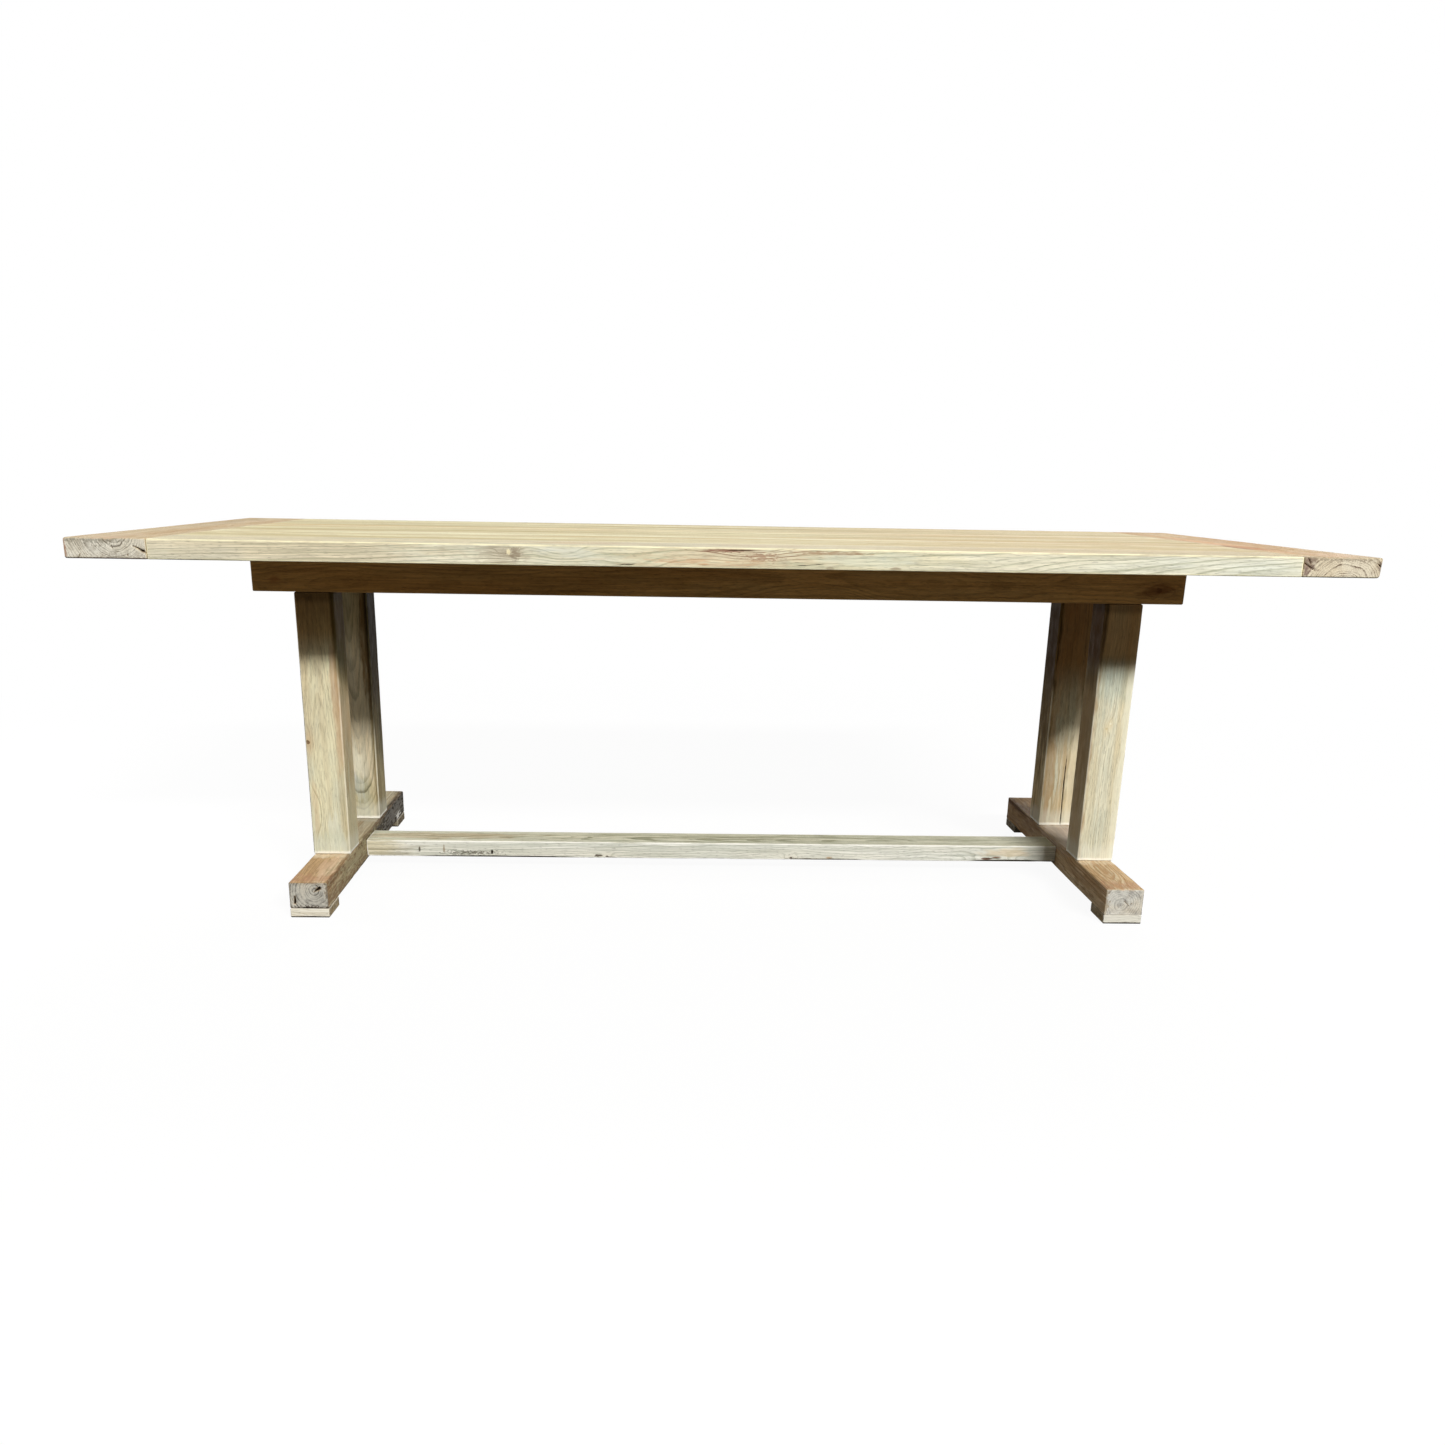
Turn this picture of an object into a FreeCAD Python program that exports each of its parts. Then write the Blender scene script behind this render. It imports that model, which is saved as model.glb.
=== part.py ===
import FreeCAD, Part
import os
import re

import Sketcher

# A trestle dining table in solid wood. A breadboard top sits on an apron frame, and the frame sits on
# two trestles, each a foot beam with two square posts. A low flat stretcher ties the foot beams together.
#
# Frame: millimetres, +X along the table, +Y from the front edge to the rear edge, +Z up.
# The origin is on the floor under the middle of the top.

Vector = FreeCAD.Vector
Rotation = FreeCAD.Rotation
Placement = FreeCAD.Placement

doc = FreeCAD.newDocument("TrestleTable")
sheet = doc.addObject("Spreadsheet::Sheet", "Sizes")

# Every driving dimension, in millimetres unless it is a count: name, value, what it measures.
driving_sizes = [
    ("table_length", 2400, "over the two breadboard ends"),
    ("table_width", 1050, "front edge to rear edge"),
    ("table_height", 768, "floor to the top surface"),
    ("top_thick", 37, "boards and breadboards"),
    ("board_count", 7, "lengthwise boards"),
    ("breadboard_width", 147, "along the table"),
    ("arris_radius", 2, "easing of the outside edges"),
    ("seam_bevel", 0.6, "small bevel where top boards meet"),
    ("fit_gap", 0.2, "clearance each side of a tongue or tenon"),
    ("tip_gap", 2, "free depth beyond a tongue or tenon"),
    ("edge_tongue_thick", 10, "tongue between two boards"),
    ("edge_tongue_length", 9, "tongue between two boards"),
    ("end_tongue_thick", 13, "tongue and tenons in the breadboards"),
    ("end_tongue_length", 20, "tongue in the breadboards"),
    ("end_tongue_setback", 26, "tongue stops short of the long edges"),
    ("board_tenon_width", 90, "one tenon on each board's end"),
    ("board_tenon_length", 75, "one tenon on each board's end"),
    ("peg_dia", 9, "peg through each board tenon"),
    ("peg_inset", 34, "peg from the board's shoulder"),
    ("peg_length", 31, "peg, driven from below"),
    ("rail_height", 84, "apron rails and cross rails"),
    ("rail_thick", 40, "apron rails"),
    ("cross_rail_thick", 40, "end rails and centre bearer"),
    ("base_width", 381, "over the outer faces of the apron rails and the posts"),
    ("end_overhang", 306.5, "end of the top past the trestle"),
    ("rail_overhang", 84.5, "end of the apron past the trestle"),
    ("post_size", 81, "square posts, also the width of the foot beams"),
    ("stub_length", 18, "stub tenons of the cross rails"),
    ("stub_drop", 12, "stub tenons below the top's underside"),
    ("stub_height", 32, "stub tenons of the cross rails"),
    ("cross_stub_width", 16, "stub tenons of the cross rails, along the table"),
    ("head_tenon_width", 45, "post head tenons, along the table"),
    ("head_tenon_length", 30, "post head tenons"),
    ("rail_tenon_thick", 14, "outer head tenon, into the apron rail"),
    ("bearer_tenon_thick", 18, "inner head tenon, into the trestle bearer"),
    ("foot_tenon_size", 46, "square tenon into the foot beam"),
    ("foot_tenon_length", 30, "square tenon into the foot beam"),
    ("foot_length", 783, "foot beam, front to rear"),
    ("foot_height", 57, "foot beam without its pads"),
    ("pad_height", 20, "pads under the foot beam's ends"),
    ("pad_length", 82, "pads, along the foot beam"),
    ("pad_screw_pitch", 44, "two screws in each pad"),
    ("stretcher_width", 85, "front to rear"),
    ("stretcher_thick", 38.5, "underside to top"),
    ("stretcher_clear", 28.5, "floor to the stretcher's underside"),
    ("stretcher_tenon_width", 58, "front to rear"),
    ("stretcher_tenon_thick", 22, "underside to top"),
    ("stretcher_tenon_length", 35, "into the foot beam"),
    ("groove_drop", 12, "button groove below the top's underside"),
    ("groove_depth", 10, "button groove"),
    ("button_tongue_thick", 9, "tongue of a button"),
    ("button_tongue_length", 7, "tongue of a button"),
    ("button_height", 23, "body of a button"),
    ("button_width", 40, "along the rail"),
    ("button_length", 34, "body of a button, from the rail inwards"),
    ("buttons_per_rail", 4, "buttons along each apron rail"),
    ("button_pitch", 380, "between buttons"),
    ("bolt_dia", 8, "bolts and lag screws"),
    ("bolt_gap", 0.5, "clearance round a bolt"),
    ("thread_gap", 0.1, "clearance round a thread in wood"),
    ("cap_head_dia", 13, "socket head bolts"),
    ("cap_head_height", 8, "socket head bolts"),
    ("socket_across", 6, "hexagon socket across its flats"),
    ("socket_depth", 4, "hexagon socket"),
    ("hex_head_across", 13, "lag screws, across the flats"),
    ("hex_head_height", 5.5, "lag screws"),
    ("lag_length", 66, "lag screws under the head"),
    ("lag_recess", 9, "counterbore for a lag screw's head"),
    ("washer_dia", 24, "washers"),
    ("washer_thick", 2, "washers"),
    ("recess_dia", 26, "counterbores for washers, and the plugs"),
    ("bolt_recess", 18, "counterbore for a stretcher bolt"),
    ("plug_thick", 6, "wooden plug over a stretcher bolt"),
    ("nut_inset", 40, "barrel nut from the stretcher's shoulder"),
    ("nut_dia", 14, "barrel nut"),
    ("nut_length", 20, "barrel nut"),
    ("bolt_past_nut", 4, "bolt end past the barrel nut"),
    ("bearer_bolt_pitch", 120, "two bolts in each trestle bearer"),
    ("bearer_bolt_recess", 46, "counterbore in a trestle bearer"),
    ("insert_dia", 12, "threaded insert in the top"),
    ("insert_length", 15, "threaded insert in the top"),
    ("frame_screw_pitch", 120, "two screws in each cross rail"),
    ("frame_screw_recess", 58, "counterbore in a cross rail"),
    ("frame_screw_length", 45, "wood screws in the cross rails"),
    ("button_screw_length", 40, "wood screws in the buttons"),
    ("pad_screw_length", 45, "wood screws in the pads"),
    ("screw_dia", 4.5, "wood screws"),
    ("screw_head_dia", 9, "wood screws"),
    ("screw_head_height", 3, "countersunk head"),
    ("screw_recess_dia", 12, "counterbores for wood screws"),
    ("pad_screw_sink", 4, "pad screw heads above the floor"),
    ("drive_across", 3, "square drive in a screw head"),
    ("drive_depth", 2, "square drive in a screw head"),
]

for row, (name, value, meaning) in enumerate(driving_sizes, start=1):
    sheet.set(f"A{row}", name)
    sheet.set(f"B{row}", str(value))
    sheet.setAlias(f"B{row}", name)
    sheet.set(f"C{row}", meaning)
doc.recompute()

# Places that several pieces share, each written with the sizes or with places above it.
shared_places = {
    "board_width": "table_width / board_count",
    "top_under": "table_height - top_thick",
    "shoulder": "table_length / 2 - breadboard_width",
    "rail_under": "top_under - rail_height",
    "rail_inside": "base_width / 2 - rail_thick",
    "trestle_out": "table_length / 2 - end_overhang - post_size / 2",
    "rail_half": "trestle_out + post_size / 2 + rail_overhang",
    "end_rail_out": "rail_half - cross_rail_thick / 2",
    "foot_top": "pad_height + foot_height",
    "post_length": "rail_under - foot_top",
    "post_out": "base_width / 2 - post_size / 2",
    "bolt_height": "stretcher_clear + stretcher_thick / 2 - pad_height",
    "inner_tenon_out": "rail_thick + (post_size - rail_thick) / 2",
    "stub_low": "rail_height - stub_drop - stub_height",
    "bearer_bolt_length": "rail_height - bearer_bolt_recess - washer_thick + insert_length",
    "stretcher_bolt_length": "post_size - bolt_recess + nut_inset + nut_dia / 2 + bolt_past_nut",
}


def formula(text):
    """The sheet expression for a sum of named sizes and shared places."""
    for name, meaning in reversed(shared_places.items()):
        text = re.sub(rf"\b{name}\b", f"({meaning})", text)
    return re.sub(r"\b([a-z_]+)\b(?!\()", r"Sizes.\1", text)


def count(name):
    """A whole number from the sheet."""
    return int(round(float(sheet.get(name))))


def bind(thing, **sizes):
    """Ties properties of an object to sums of sizes."""
    for name, text in sizes.items():
        thing.setExpression(name, formula(text))


def put(thing, x="0", y="0", z="0", turn=None):
    """Places an object: x, y and z are sums of sizes, and turn is an axis and an angle."""
    if turn:
        thing.Placement = Placement(Vector(), Rotation(turn[0], turn[1]))
    for axis, text in (("x", x), ("y", y), ("z", z)):
        thing.setExpression(f"Placement.Base.{axis}", formula(text))
    return thing


up = Vector(0, 0, 1)
along = Vector(0, 1, 0)
half_turn = (up, 180)

touching = 0.01  # places this close count as one
parallel = 0.999  # least cosine between directions that count as one
same_length = 0.99  # least ratio between lengths that count as one
rough_size = 10  # sketched shapes start about this large, then their dimensions size them


# Part workbench solids -----------------------------------------------------------------------

def box(name, x, y, z, length, width, height):
    """A box from its lowest corner."""
    solid = doc.addObject("Part::Box", name)
    bind(solid, Length=length, Width=width, Height=height)
    return put(solid, x, y, z)


def rod(name, dia, height, x="0", y="0", z="0", turn=None):
    """A round bar from the centre of its lower end."""
    solid = doc.addObject("Part::Cylinder", name)
    bind(solid, Radius=f"({dia}) / 2", Height=height)
    return put(solid, x, y, z, turn)


def cone(name, low_dia, high_dia, height, z="0"):
    """A round taper from the centre of its lower end."""
    solid = doc.addObject("Part::Cone", name)
    bind(solid, Radius1=f"({low_dia}) / 2", Radius2=f"({high_dia}) / 2", Height=height)
    return put(solid, z=z)


def hexagon(name, across, height, z="0"):
    """A hexagonal bar, across is over its flats."""
    solid = doc.addObject("Part::Prism", name)
    solid.Polygon = 6
    bind(solid, Circumradius=f"{across} / sqrt(3)", Height=height)
    return put(solid, z=z)


def fuse(name, solids):
    whole = doc.addObject("Part::MultiFuse", name)
    whole.Shapes = solids
    whole.Refine = True
    return whole


def cut(name, solid, tools):
    """The solid without the tools."""
    tool = tools[0]
    if len(tools) > 1:
        tool = doc.addObject("Part::Compound", f"{name}_cuts")
        tool.Links = tools
    whole = doc.addObject("Part::Cut", name)
    whole.Base = solid
    whole.Tool = tool
    whole.Refine = True
    return whole


def chamfer(name, solid, choose):
    """Bevels the edges that choose gives a size for."""
    doc.recompute()
    edges = []
    for number, edge in enumerate(solid.Shape.Edges, start=1):
        size = choose(edge, solid.Shape.BoundBox)
        if size:
            edges.append((number, size, size))
    whole = doc.addObject("Part::Chamfer", name)
    whole.Base = solid
    whole.Edges = edges
    return whole


def copies(label, piece, places):
    """Separate copies of one piece, as one group of solids: each place is x, y, z and a turn or None."""
    links = []
    for number, (x, y, z, turn) in enumerate(places, start=1):
        link = doc.addObject("App::Link", f"{label}_{number}")
        link.LinkedObject = piece
        links.append(put(link, x, y, z, turn))
    group = doc.addObject("Part::Compound", label)
    group.Links = links
    return group


# PartDesign solids -----------------------------------------------------------------------------

def new_body(name):
    return doc.addObject("PartDesign::Body", name)


def sketch_on(body, name, role, offset):
    """An empty sketch on one of the body's own planes, moved along the plane's normal."""
    sketch = body.newObject("Sketcher::SketchObject", name)
    plane = next(item for item in body.Origin.OriginFeatures if item.Role == role)
    sketch.AttachmentSupport = [(plane, "")]
    sketch.MapMode = "FlatFace"
    sketch.setExpression("AttachmentOffset.Base.z", formula(offset))
    return sketch


def dimension(sketch, name, kind, places, text):
    """A named sketch dimension that follows a sum of sizes."""
    number = sketch.addConstraint(Sketcher.Constraint(kind, *places, 1.0))
    sketch.renameConstraint(number, name)
    sketch.setExpression(f"Constraints.{name}", formula(text))


def draw_rectangle(sketch, left, low, width, height):
    corners = [Vector(x * rough_size, y * rough_size, 0) for x, y in ((0, 0), (1, 0), (1, 1), (0, 1))]
    for side in range(4):
        sketch.addGeometry(Part.LineSegment(corners[side], corners[(side + 1) % 4]), False)
    for side in range(4):
        sketch.addConstraint(Sketcher.Constraint("Coincident", side, 2, (side + 1) % 4, 1))
        sketch.addConstraint(Sketcher.Constraint("Vertical" if side % 2 else "Horizontal", side))
    dimension(sketch, "left", "DistanceX", (-1, 1, 0, 1), left)
    dimension(sketch, "low", "DistanceY", (-1, 1, 0, 1), low)
    dimension(sketch, "wide", "DistanceX", (0, 1, 0, 2), width)
    dimension(sketch, "tall", "DistanceY", (1, 1, 1, 2), height)


def draw_circle(sketch, x, y, dia):
    sketch.addGeometry(Part.Circle(Vector(rough_size, rough_size, 0), up, rough_size / 2), False)
    dimension(sketch, "across", "Diameter", (0,), dia)
    dimension(sketch, "right", "DistanceX", (-1, 1, 0, 3), x)
    dimension(sketch, "forward", "DistanceY", (-1, 1, 0, 3), y)


def pad_up(body, name, x, y, z, length, width, height):
    """A block of the body from its lowest corner."""
    sketch = sketch_on(body, f"{name}_section", "XY_Plane", z)
    draw_rectangle(sketch, x, y, length, width)
    feature = body.newObject("PartDesign::Pad", name)
    feature.Profile = sketch
    bind(feature, Length=height)
    return feature


def pocket_down(body, name, x, y, top, length, width, depth):
    """A rectangular mortise or slot, cut down from its top."""
    sketch = sketch_on(body, f"{name}_section", "XY_Plane", top)
    draw_rectangle(sketch, x, y, length, width)
    feature = body.newObject("PartDesign::Pocket", name)
    feature.Profile = sketch
    bind(feature, Length=depth)
    return feature


def bore_up(body, name, x, y, start, dia, depth):
    """A round hole along +Z."""
    sketch = sketch_on(body, f"{name}_section", "XY_Plane", start)
    draw_circle(sketch, x, y, dia)
    feature = body.newObject("PartDesign::Pocket", name)
    feature.Profile = sketch
    feature.Reversed = True
    bind(feature, Length=depth)
    return feature


def bore_along(body, name, y, z, start, dia, depth, towards_plus=False):
    """A round hole along X, cut towards -X from its start, or towards +X."""
    sketch = sketch_on(body, f"{name}_section", "YZ_Plane", start)
    draw_circle(sketch, y, z, dia)
    feature = body.newObject("PartDesign::Pocket", name)
    feature.Profile = sketch
    feature.Reversed = towards_plus
    bind(feature, Length=depth)
    return feature


def ease(body, name, base, direction, keep=lambda middle: True):
    """Rounds the base's longest straight edges that run in one direction."""
    doc.recompute()
    wanted = []
    for number, edge in enumerate(base.Shape.Edges, start=1):
        line = edge.Vertexes[-1].Point - edge.Vertexes[0].Point
        if line.Length > touching and abs(line.normalize().dot(direction)) > parallel:
            wanted.append((edge.Length, number, edge.CenterOfMass))
    longest = max(item[0] for item in wanted)
    names = []
    for size, number, middle in wanted:
        if size > same_length * longest and keep(middle):
            names.append(f"Edge{number}")
    feature = body.newObject("PartDesign::Fillet", name)
    feature.Base = (base, names)
    bind(feature, Radius="arris_radius")
    return feature


# The top ---------------------------------------------------------------------------------------

def top_board(number):
    """One lengthwise board: rear edge tongued, front edge grooved, both ends tongued and tenoned."""
    name = f"top_board_{number + 1}"
    last = count("board_count") - 1
    front = f"{number} * board_width - table_width / 2"
    mid = "top_under + top_thick / 2"
    middle = f"{front} + board_width / 2"
    plain = box(
        f"{name}_plain", "-shoulder", front, "top_under", "2 * shoulder", "board_width", "top_thick")

    def bevel(edge, bounds):
        middle = edge.CenterOfMass
        lengthwise = abs(edge.Vertexes[0].X - edge.Vertexes[-1].X) > touching
        front_edge = number == 0 and lengthwise and abs(middle.y - bounds.YMin) < touching
        rear_edge = number == last and lengthwise and abs(middle.y - bounds.YMax) < touching
        if front_edge or rear_edge:
            return float(sheet.get("arris_radius"))
        upright = abs(edge.Vertexes[0].Z - edge.Vertexes[-1].Z) > touching
        return float(sheet.get("seam_bevel")) if middle.z > bounds.ZMax - touching and not upright else None

    solids = [chamfer(f"{name}_bevelled", plain, bevel)]
    cuts = []
    if number < last:
        solids.append(box(
            f"{name}_edge_tongue", "-shoulder", f"{front} + board_width", f"{mid} - edge_tongue_thick / 2",
            "2 * shoulder", "edge_tongue_length", "edge_tongue_thick"))
    if number > 0:
        cuts.append(box(
            f"{name}_edge_groove", "-shoulder", front, f"{mid} - edge_tongue_thick / 2 - fit_gap",
            "2 * shoulder", "edge_tongue_length + tip_gap", "edge_tongue_thick + 2 * fit_gap"))
    tongue_front = "end_tongue_setback" if number == 0 else "0"
    tongue_rear = "end_tongue_setback" if number == last else "0"
    solids.append(box(
        f"{name}_end_tongue", "-shoulder - end_tongue_length", f"{front} + {tongue_front}",
        f"{mid} - end_tongue_thick / 2", "2 * shoulder + 2 * end_tongue_length",
        f"board_width - {tongue_front} - {tongue_rear}", "end_tongue_thick"))
    solids.append(box(
        f"{name}_tenons", "-shoulder - board_tenon_length", f"{middle} - board_tenon_width / 2",
        f"{mid} - end_tongue_thick / 2", "2 * shoulder + 2 * board_tenon_length",
        "board_tenon_width", "end_tongue_thick"))
    for side, sign in (("left", "-"), ("right", "+")):
        cuts.append(rod(
            f"{name}_peg_hole_{side}", "peg_dia + 2 * thread_gap", "top_thick",
            f"{sign}(shoulder + peg_inset)", middle, "top_under"))
    cuts += [rod(f"{name}_{tag}", dia, depth, x, y, "top_under") for tag, dia, depth, x, y in top_holes()]
    whole = cut(name, fuse(f"{name}_joined", solids), cuts)
    whole.Label = name
    return whole


def top_holes():
    """Blind holes in the top's underside: tag, diameter, depth and place of each."""
    holes = []
    for tag, x, y in button_places():
        holes.append((f"button_hole_{tag}", "screw_dia + 2 * thread_gap",
                      "button_screw_length - button_height + tip_gap", x, y))
    for tag, x, y in frame_screw_places():
        holes.append((f"frame_hole_{tag}", "screw_dia + 2 * thread_gap",
                      "frame_screw_length - (rail_height - frame_screw_recess) + tip_gap", x, y))
    for tag, x, y in bearer_bolt_places():
        holes.append((f"insert_hole_{tag}", "insert_dia + 2 * thread_gap", "insert_length + tip_gap", x, y))
    return holes


def button_places():
    """Where each button's screw stands."""
    places = []
    for number in range(count("buttons_per_rail")):
        x = f"({number} - (buttons_per_rail - 1) / 2) * button_pitch"
        places.append((f"front_{number + 1}", x, "-(rail_inside - button_length / 2)"))
        places.append((f"rear_{number + 1}", x, "rail_inside - button_length / 2"))
    return places


def frame_screw_places():
    """Two screws in each end rail and in the centre bearer."""
    places = []
    for tag, x in (("left", "-end_rail_out"), ("centre", "0"), ("right", "end_rail_out")):
        for side, sign in (("front", "-"), ("rear", "+")):
            places.append((f"{tag}_{side}", x, f"{sign}frame_screw_pitch / 2"))
    return places


def bearer_bolt_places():
    """Two bolts in each trestle bearer."""
    places = []
    for tag, x in (("left", "-trestle_out"), ("right", "trestle_out")):
        for side, sign in (("front", "-"), ("rear", "+")):
            places.append((f"{tag}_{side}", x, f"{sign}bearer_bolt_pitch / 2"))
    return places


def breadboard(side):
    """A cross board over the boards' ends, grooved and mortised. Its own frame starts at the shoulder."""
    name = f"breadboard_{side}"
    low = "top_thick / 2 - end_tongue_thick / 2 - fit_gap"
    plain = box(
        f"{name}_plain", "0", "-table_width / 2", "0", "breadboard_width", "table_width", "top_thick")

    def bevel(edge, bounds):
        middle = edge.CenterOfMass
        if abs(middle.x - bounds.XMin) < touching:
            top_edge = middle.z > bounds.ZMax - touching
            return float(sheet.get("seam_bevel")) if top_edge else None
        return float(sheet.get("arris_radius"))

    body = chamfer(f"{name}_bevelled", plain, bevel)
    cuts = [box(
        f"{name}_groove", "0", "-table_width / 2 + end_tongue_setback - fit_gap", low,
        "end_tongue_length + tip_gap", "table_width - 2 * end_tongue_setback + 2 * fit_gap",
        "end_tongue_thick + 2 * fit_gap")]
    for number in range(count("board_count")):
        middle = f"({number} + 0.5) * board_width - table_width / 2"
        cuts.append(box(
            f"{name}_mortise_{number + 1}", "0", f"{middle} - board_tenon_width / 2 - fit_gap", low,
            "board_tenon_length + tip_gap", "board_tenon_width + 2 * fit_gap",
            "end_tongue_thick + 2 * fit_gap"))
        cuts.append(rod(
            f"{name}_peg_hole_{number + 1}", "peg_dia", "peg_length + tip_gap / 2", "peg_inset", middle))
    whole = cut(name, body, cuts)
    whole.Label = name
    turn = half_turn if side == "left" else None
    return put(whole, "-shoulder" if side == "left" else "shoulder", "0", "top_under", turn)


def breadboard_pegs():
    """Round pegs with a tapered nose, flush with the breadboards' undersides."""
    peg = fuse("peg", [
        rod("peg_shank", "peg_dia", "peg_length - peg_dia / 3"),
        cone("peg_nose", "peg_dia", "peg_dia / 2", "peg_dia / 3", "peg_length - peg_dia / 3")])
    places = []
    for number in range(count("board_count")):
        for sign in "-+":
            places.append((f"{sign}(shoulder + peg_inset)",
                           f"({number} + 0.5) * board_width - table_width / 2", "top_under", None))
    return copies("breadboard_pegs", peg, places)


# The apron frame -------------------------------------------------------------------------------

def apron_rail(side):
    """A long rail. Its own frame has the outer face at y = 0 and the underside at z = 0."""
    name = f"apron_rail_{side}"
    plain = box(f"{name}_plain", "-rail_half", "0", "0", "2 * rail_half", "rail_thick", "rail_height")

    def bevel(edge, bounds):
        middle = edge.CenterOfMass
        outer = abs(middle.y - bounds.YMin) < touching and middle.z < bounds.ZMax - touching
        return float(sheet.get("arris_radius")) if outer else None

    body = chamfer(f"{name}_eased", plain, bevel)
    cuts = [box(
        f"{name}_button_groove", "-(rail_half - cross_rail_thick)", "rail_thick - groove_depth",
        "rail_height - groove_drop - button_tongue_thick - 2 * fit_gap",
        "2 * (rail_half - cross_rail_thick)", "groove_depth", "button_tongue_thick + 2 * fit_gap")]
    for tag, x in (("left", "-trestle_out"), ("right", "trestle_out")):
        cuts.append(box(
            f"{name}_post_mortise_{tag}", f"{x} - head_tenon_width / 2 - fit_gap",
            "rail_thick / 2 - rail_tenon_thick / 2 - fit_gap", "0", "head_tenon_width + 2 * fit_gap",
            "rail_tenon_thick + 2 * fit_gap", "head_tenon_length + tip_gap"))
    for tag, x, width in cross_members():
        cuts.append(box(
            f"{name}_{tag}_mortise", f"{x} - {width} / 2 - fit_gap", "rail_thick - stub_length - tip_gap",
            "stub_low - fit_gap", f"{width} + 2 * fit_gap", "stub_length + tip_gap",
            "stub_height + 2 * fit_gap"))
    whole = cut(name, body, cuts)
    whole.Label = name
    turn = half_turn if side == "rear" else None
    return put(whole, "0", "base_width / 2" if side == "rear" else "-base_width / 2", "rail_under", turn)


def cross_members():
    """Name, place along the table and stub tenon width of every piece between the long rails."""
    return [
        ("apron_end_left", "-end_rail_out", "cross_stub_width"),
        ("apron_end_right", "end_rail_out", "cross_stub_width"),
        ("centre_bearer", "0", "cross_stub_width"),
        ("trestle_bearer_left", "-trestle_out", "head_tenon_width"),
        ("trestle_bearer_right", "trestle_out", "head_tenon_width"),
    ]


def cross_member(name, x, stub_width):
    """A rail across the frame with a stub tenon at each end. Its own frame is centred on its underside."""
    over_post = name.startswith("trestle")
    thick = "post_size" if over_post else "cross_rail_thick"
    solids = [
        box(f"{name}_plain", f"-{thick} / 2", "-rail_inside", "0", thick, "2 * rail_inside", "rail_height"),
        box(f"{name}_stubs", f"-{stub_width} / 2", "-rail_inside - stub_length", "stub_low", stub_width,
            "2 * rail_inside + 2 * stub_length", "stub_height")]
    cuts = []
    for side, sign in (("front", "-"), ("rear", "+")):
        if over_post:
            middle = f"{sign}(base_width / 2 - inner_tenon_out)"
            cuts.append(box(
                f"{name}_mortise_{side}", "-head_tenon_width / 2 - fit_gap",
                f"{middle} - bearer_tenon_thick / 2 - fit_gap", "0", "head_tenon_width + 2 * fit_gap",
                "bearer_tenon_thick + 2 * fit_gap", "head_tenon_length + tip_gap"))
            pitch, hole = "bearer_bolt_pitch", "bolt_dia + 2 * bolt_gap"
            recess_dia, recess = "recess_dia", "bearer_bolt_recess"
        else:
            pitch, hole = "frame_screw_pitch", "screw_dia + 2 * bolt_gap"
            recess_dia, recess = "screw_recess_dia", "frame_screw_recess"
        place = f"{sign}{pitch} / 2"
        cuts.append(rod(f"{name}_recess_{side}", recess_dia, recess, "0", place))
        cuts.append(rod(f"{name}_hole_{side}", hole, "rail_height", "0", place))
        if not over_post:
            sink = cone(f"{name}_sink_{side}", "screw_head_dia", "screw_dia", "screw_head_height")
            cuts.append(put(sink, "0", place, "frame_screw_recess"))
    whole = cut(name, fuse(f"{name}_joined", solids), cuts)
    whole.Label = name
    return put(whole, x, "0", "rail_under")


def table_buttons():
    """Wooden buttons that hold the top down: each is screwed to a board and hooked in a rail's groove."""
    body = box("button_block", "-button_width / 2", "-button_length / 2", "-button_height",
               "button_width", "button_length", "button_height")
    tongue = box("button_tongue", "-button_width / 2", "-button_length / 2 - button_tongue_length",
                 "-groove_drop - button_tongue_thick", "button_width",
                 "button_length / 2 + button_tongue_length", "button_tongue_thick")
    hole = rod("button_hole", "screw_dia + 2 * bolt_gap", "button_height", z="-button_height")
    sink = cone("button_sink", "screw_head_dia", "screw_dia", "screw_head_height", "-button_height")
    button = cut("button", fuse("button_joined", [body, tongue]), [hole, sink])
    places = []
    for tag, x, y in button_places():
        places.append((x, y, "top_under", half_turn if tag.startswith("rear") else None))
    return copies("table_buttons", button, places)


# Fasteners. Each stands on z = 0 under its head, with its shank along +Z. ------------------------

def wood_screw(name, length):
    """A countersunk screw: its head's outer face is at z = 0."""
    solid = fuse(f"{name}_solid", [
        cone(f"{name}_head", "screw_head_dia", "screw_dia", "screw_head_height"),
        rod(f"{name}_shank", "screw_dia", f"{length} - 2 * screw_dia"),
        cone(f"{name}_point", "screw_dia", "screw_dia / 5", "2 * screw_dia", f"{length} - 2 * screw_dia")])
    drive = box(f"{name}_drive", "-drive_across / 2", "-drive_across / 2", "0",
                "drive_across", "drive_across", "drive_depth")
    return cut(name, solid, [drive])


def cap_bolt(name, length):
    """A socket head bolt: the underside of its head is at z = 0."""
    solid = fuse(f"{name}_solid", [
        rod(f"{name}_head", "cap_head_dia", "cap_head_height", z="-cap_head_height"),
        rod(f"{name}_shank", "bolt_dia", length)])
    socket = hexagon(f"{name}_socket", "socket_across", "socket_depth", "-cap_head_height")
    return cut(name, solid, [socket])


def lag_screw():
    """A hexagon head wood screw with a plain point."""
    return fuse("lag_screw", [
        hexagon("lag_head", "hex_head_across", "hex_head_height", "-hex_head_height"),
        rod("lag_shank", "bolt_dia", "lag_length - bolt_dia"),
        cone("lag_point", "bolt_dia", "bolt_dia / 4", "bolt_dia", "lag_length - bolt_dia")])


def washer():
    """A flat washer from z = 0 downwards."""
    disc = rod("washer_disc", "washer_dia", "washer_thick", z="-washer_thick")
    hole = rod("washer_hole", "bolt_dia + bolt_gap", "washer_thick", z="-washer_thick")
    return cut("washer", disc, [hole])


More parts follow.
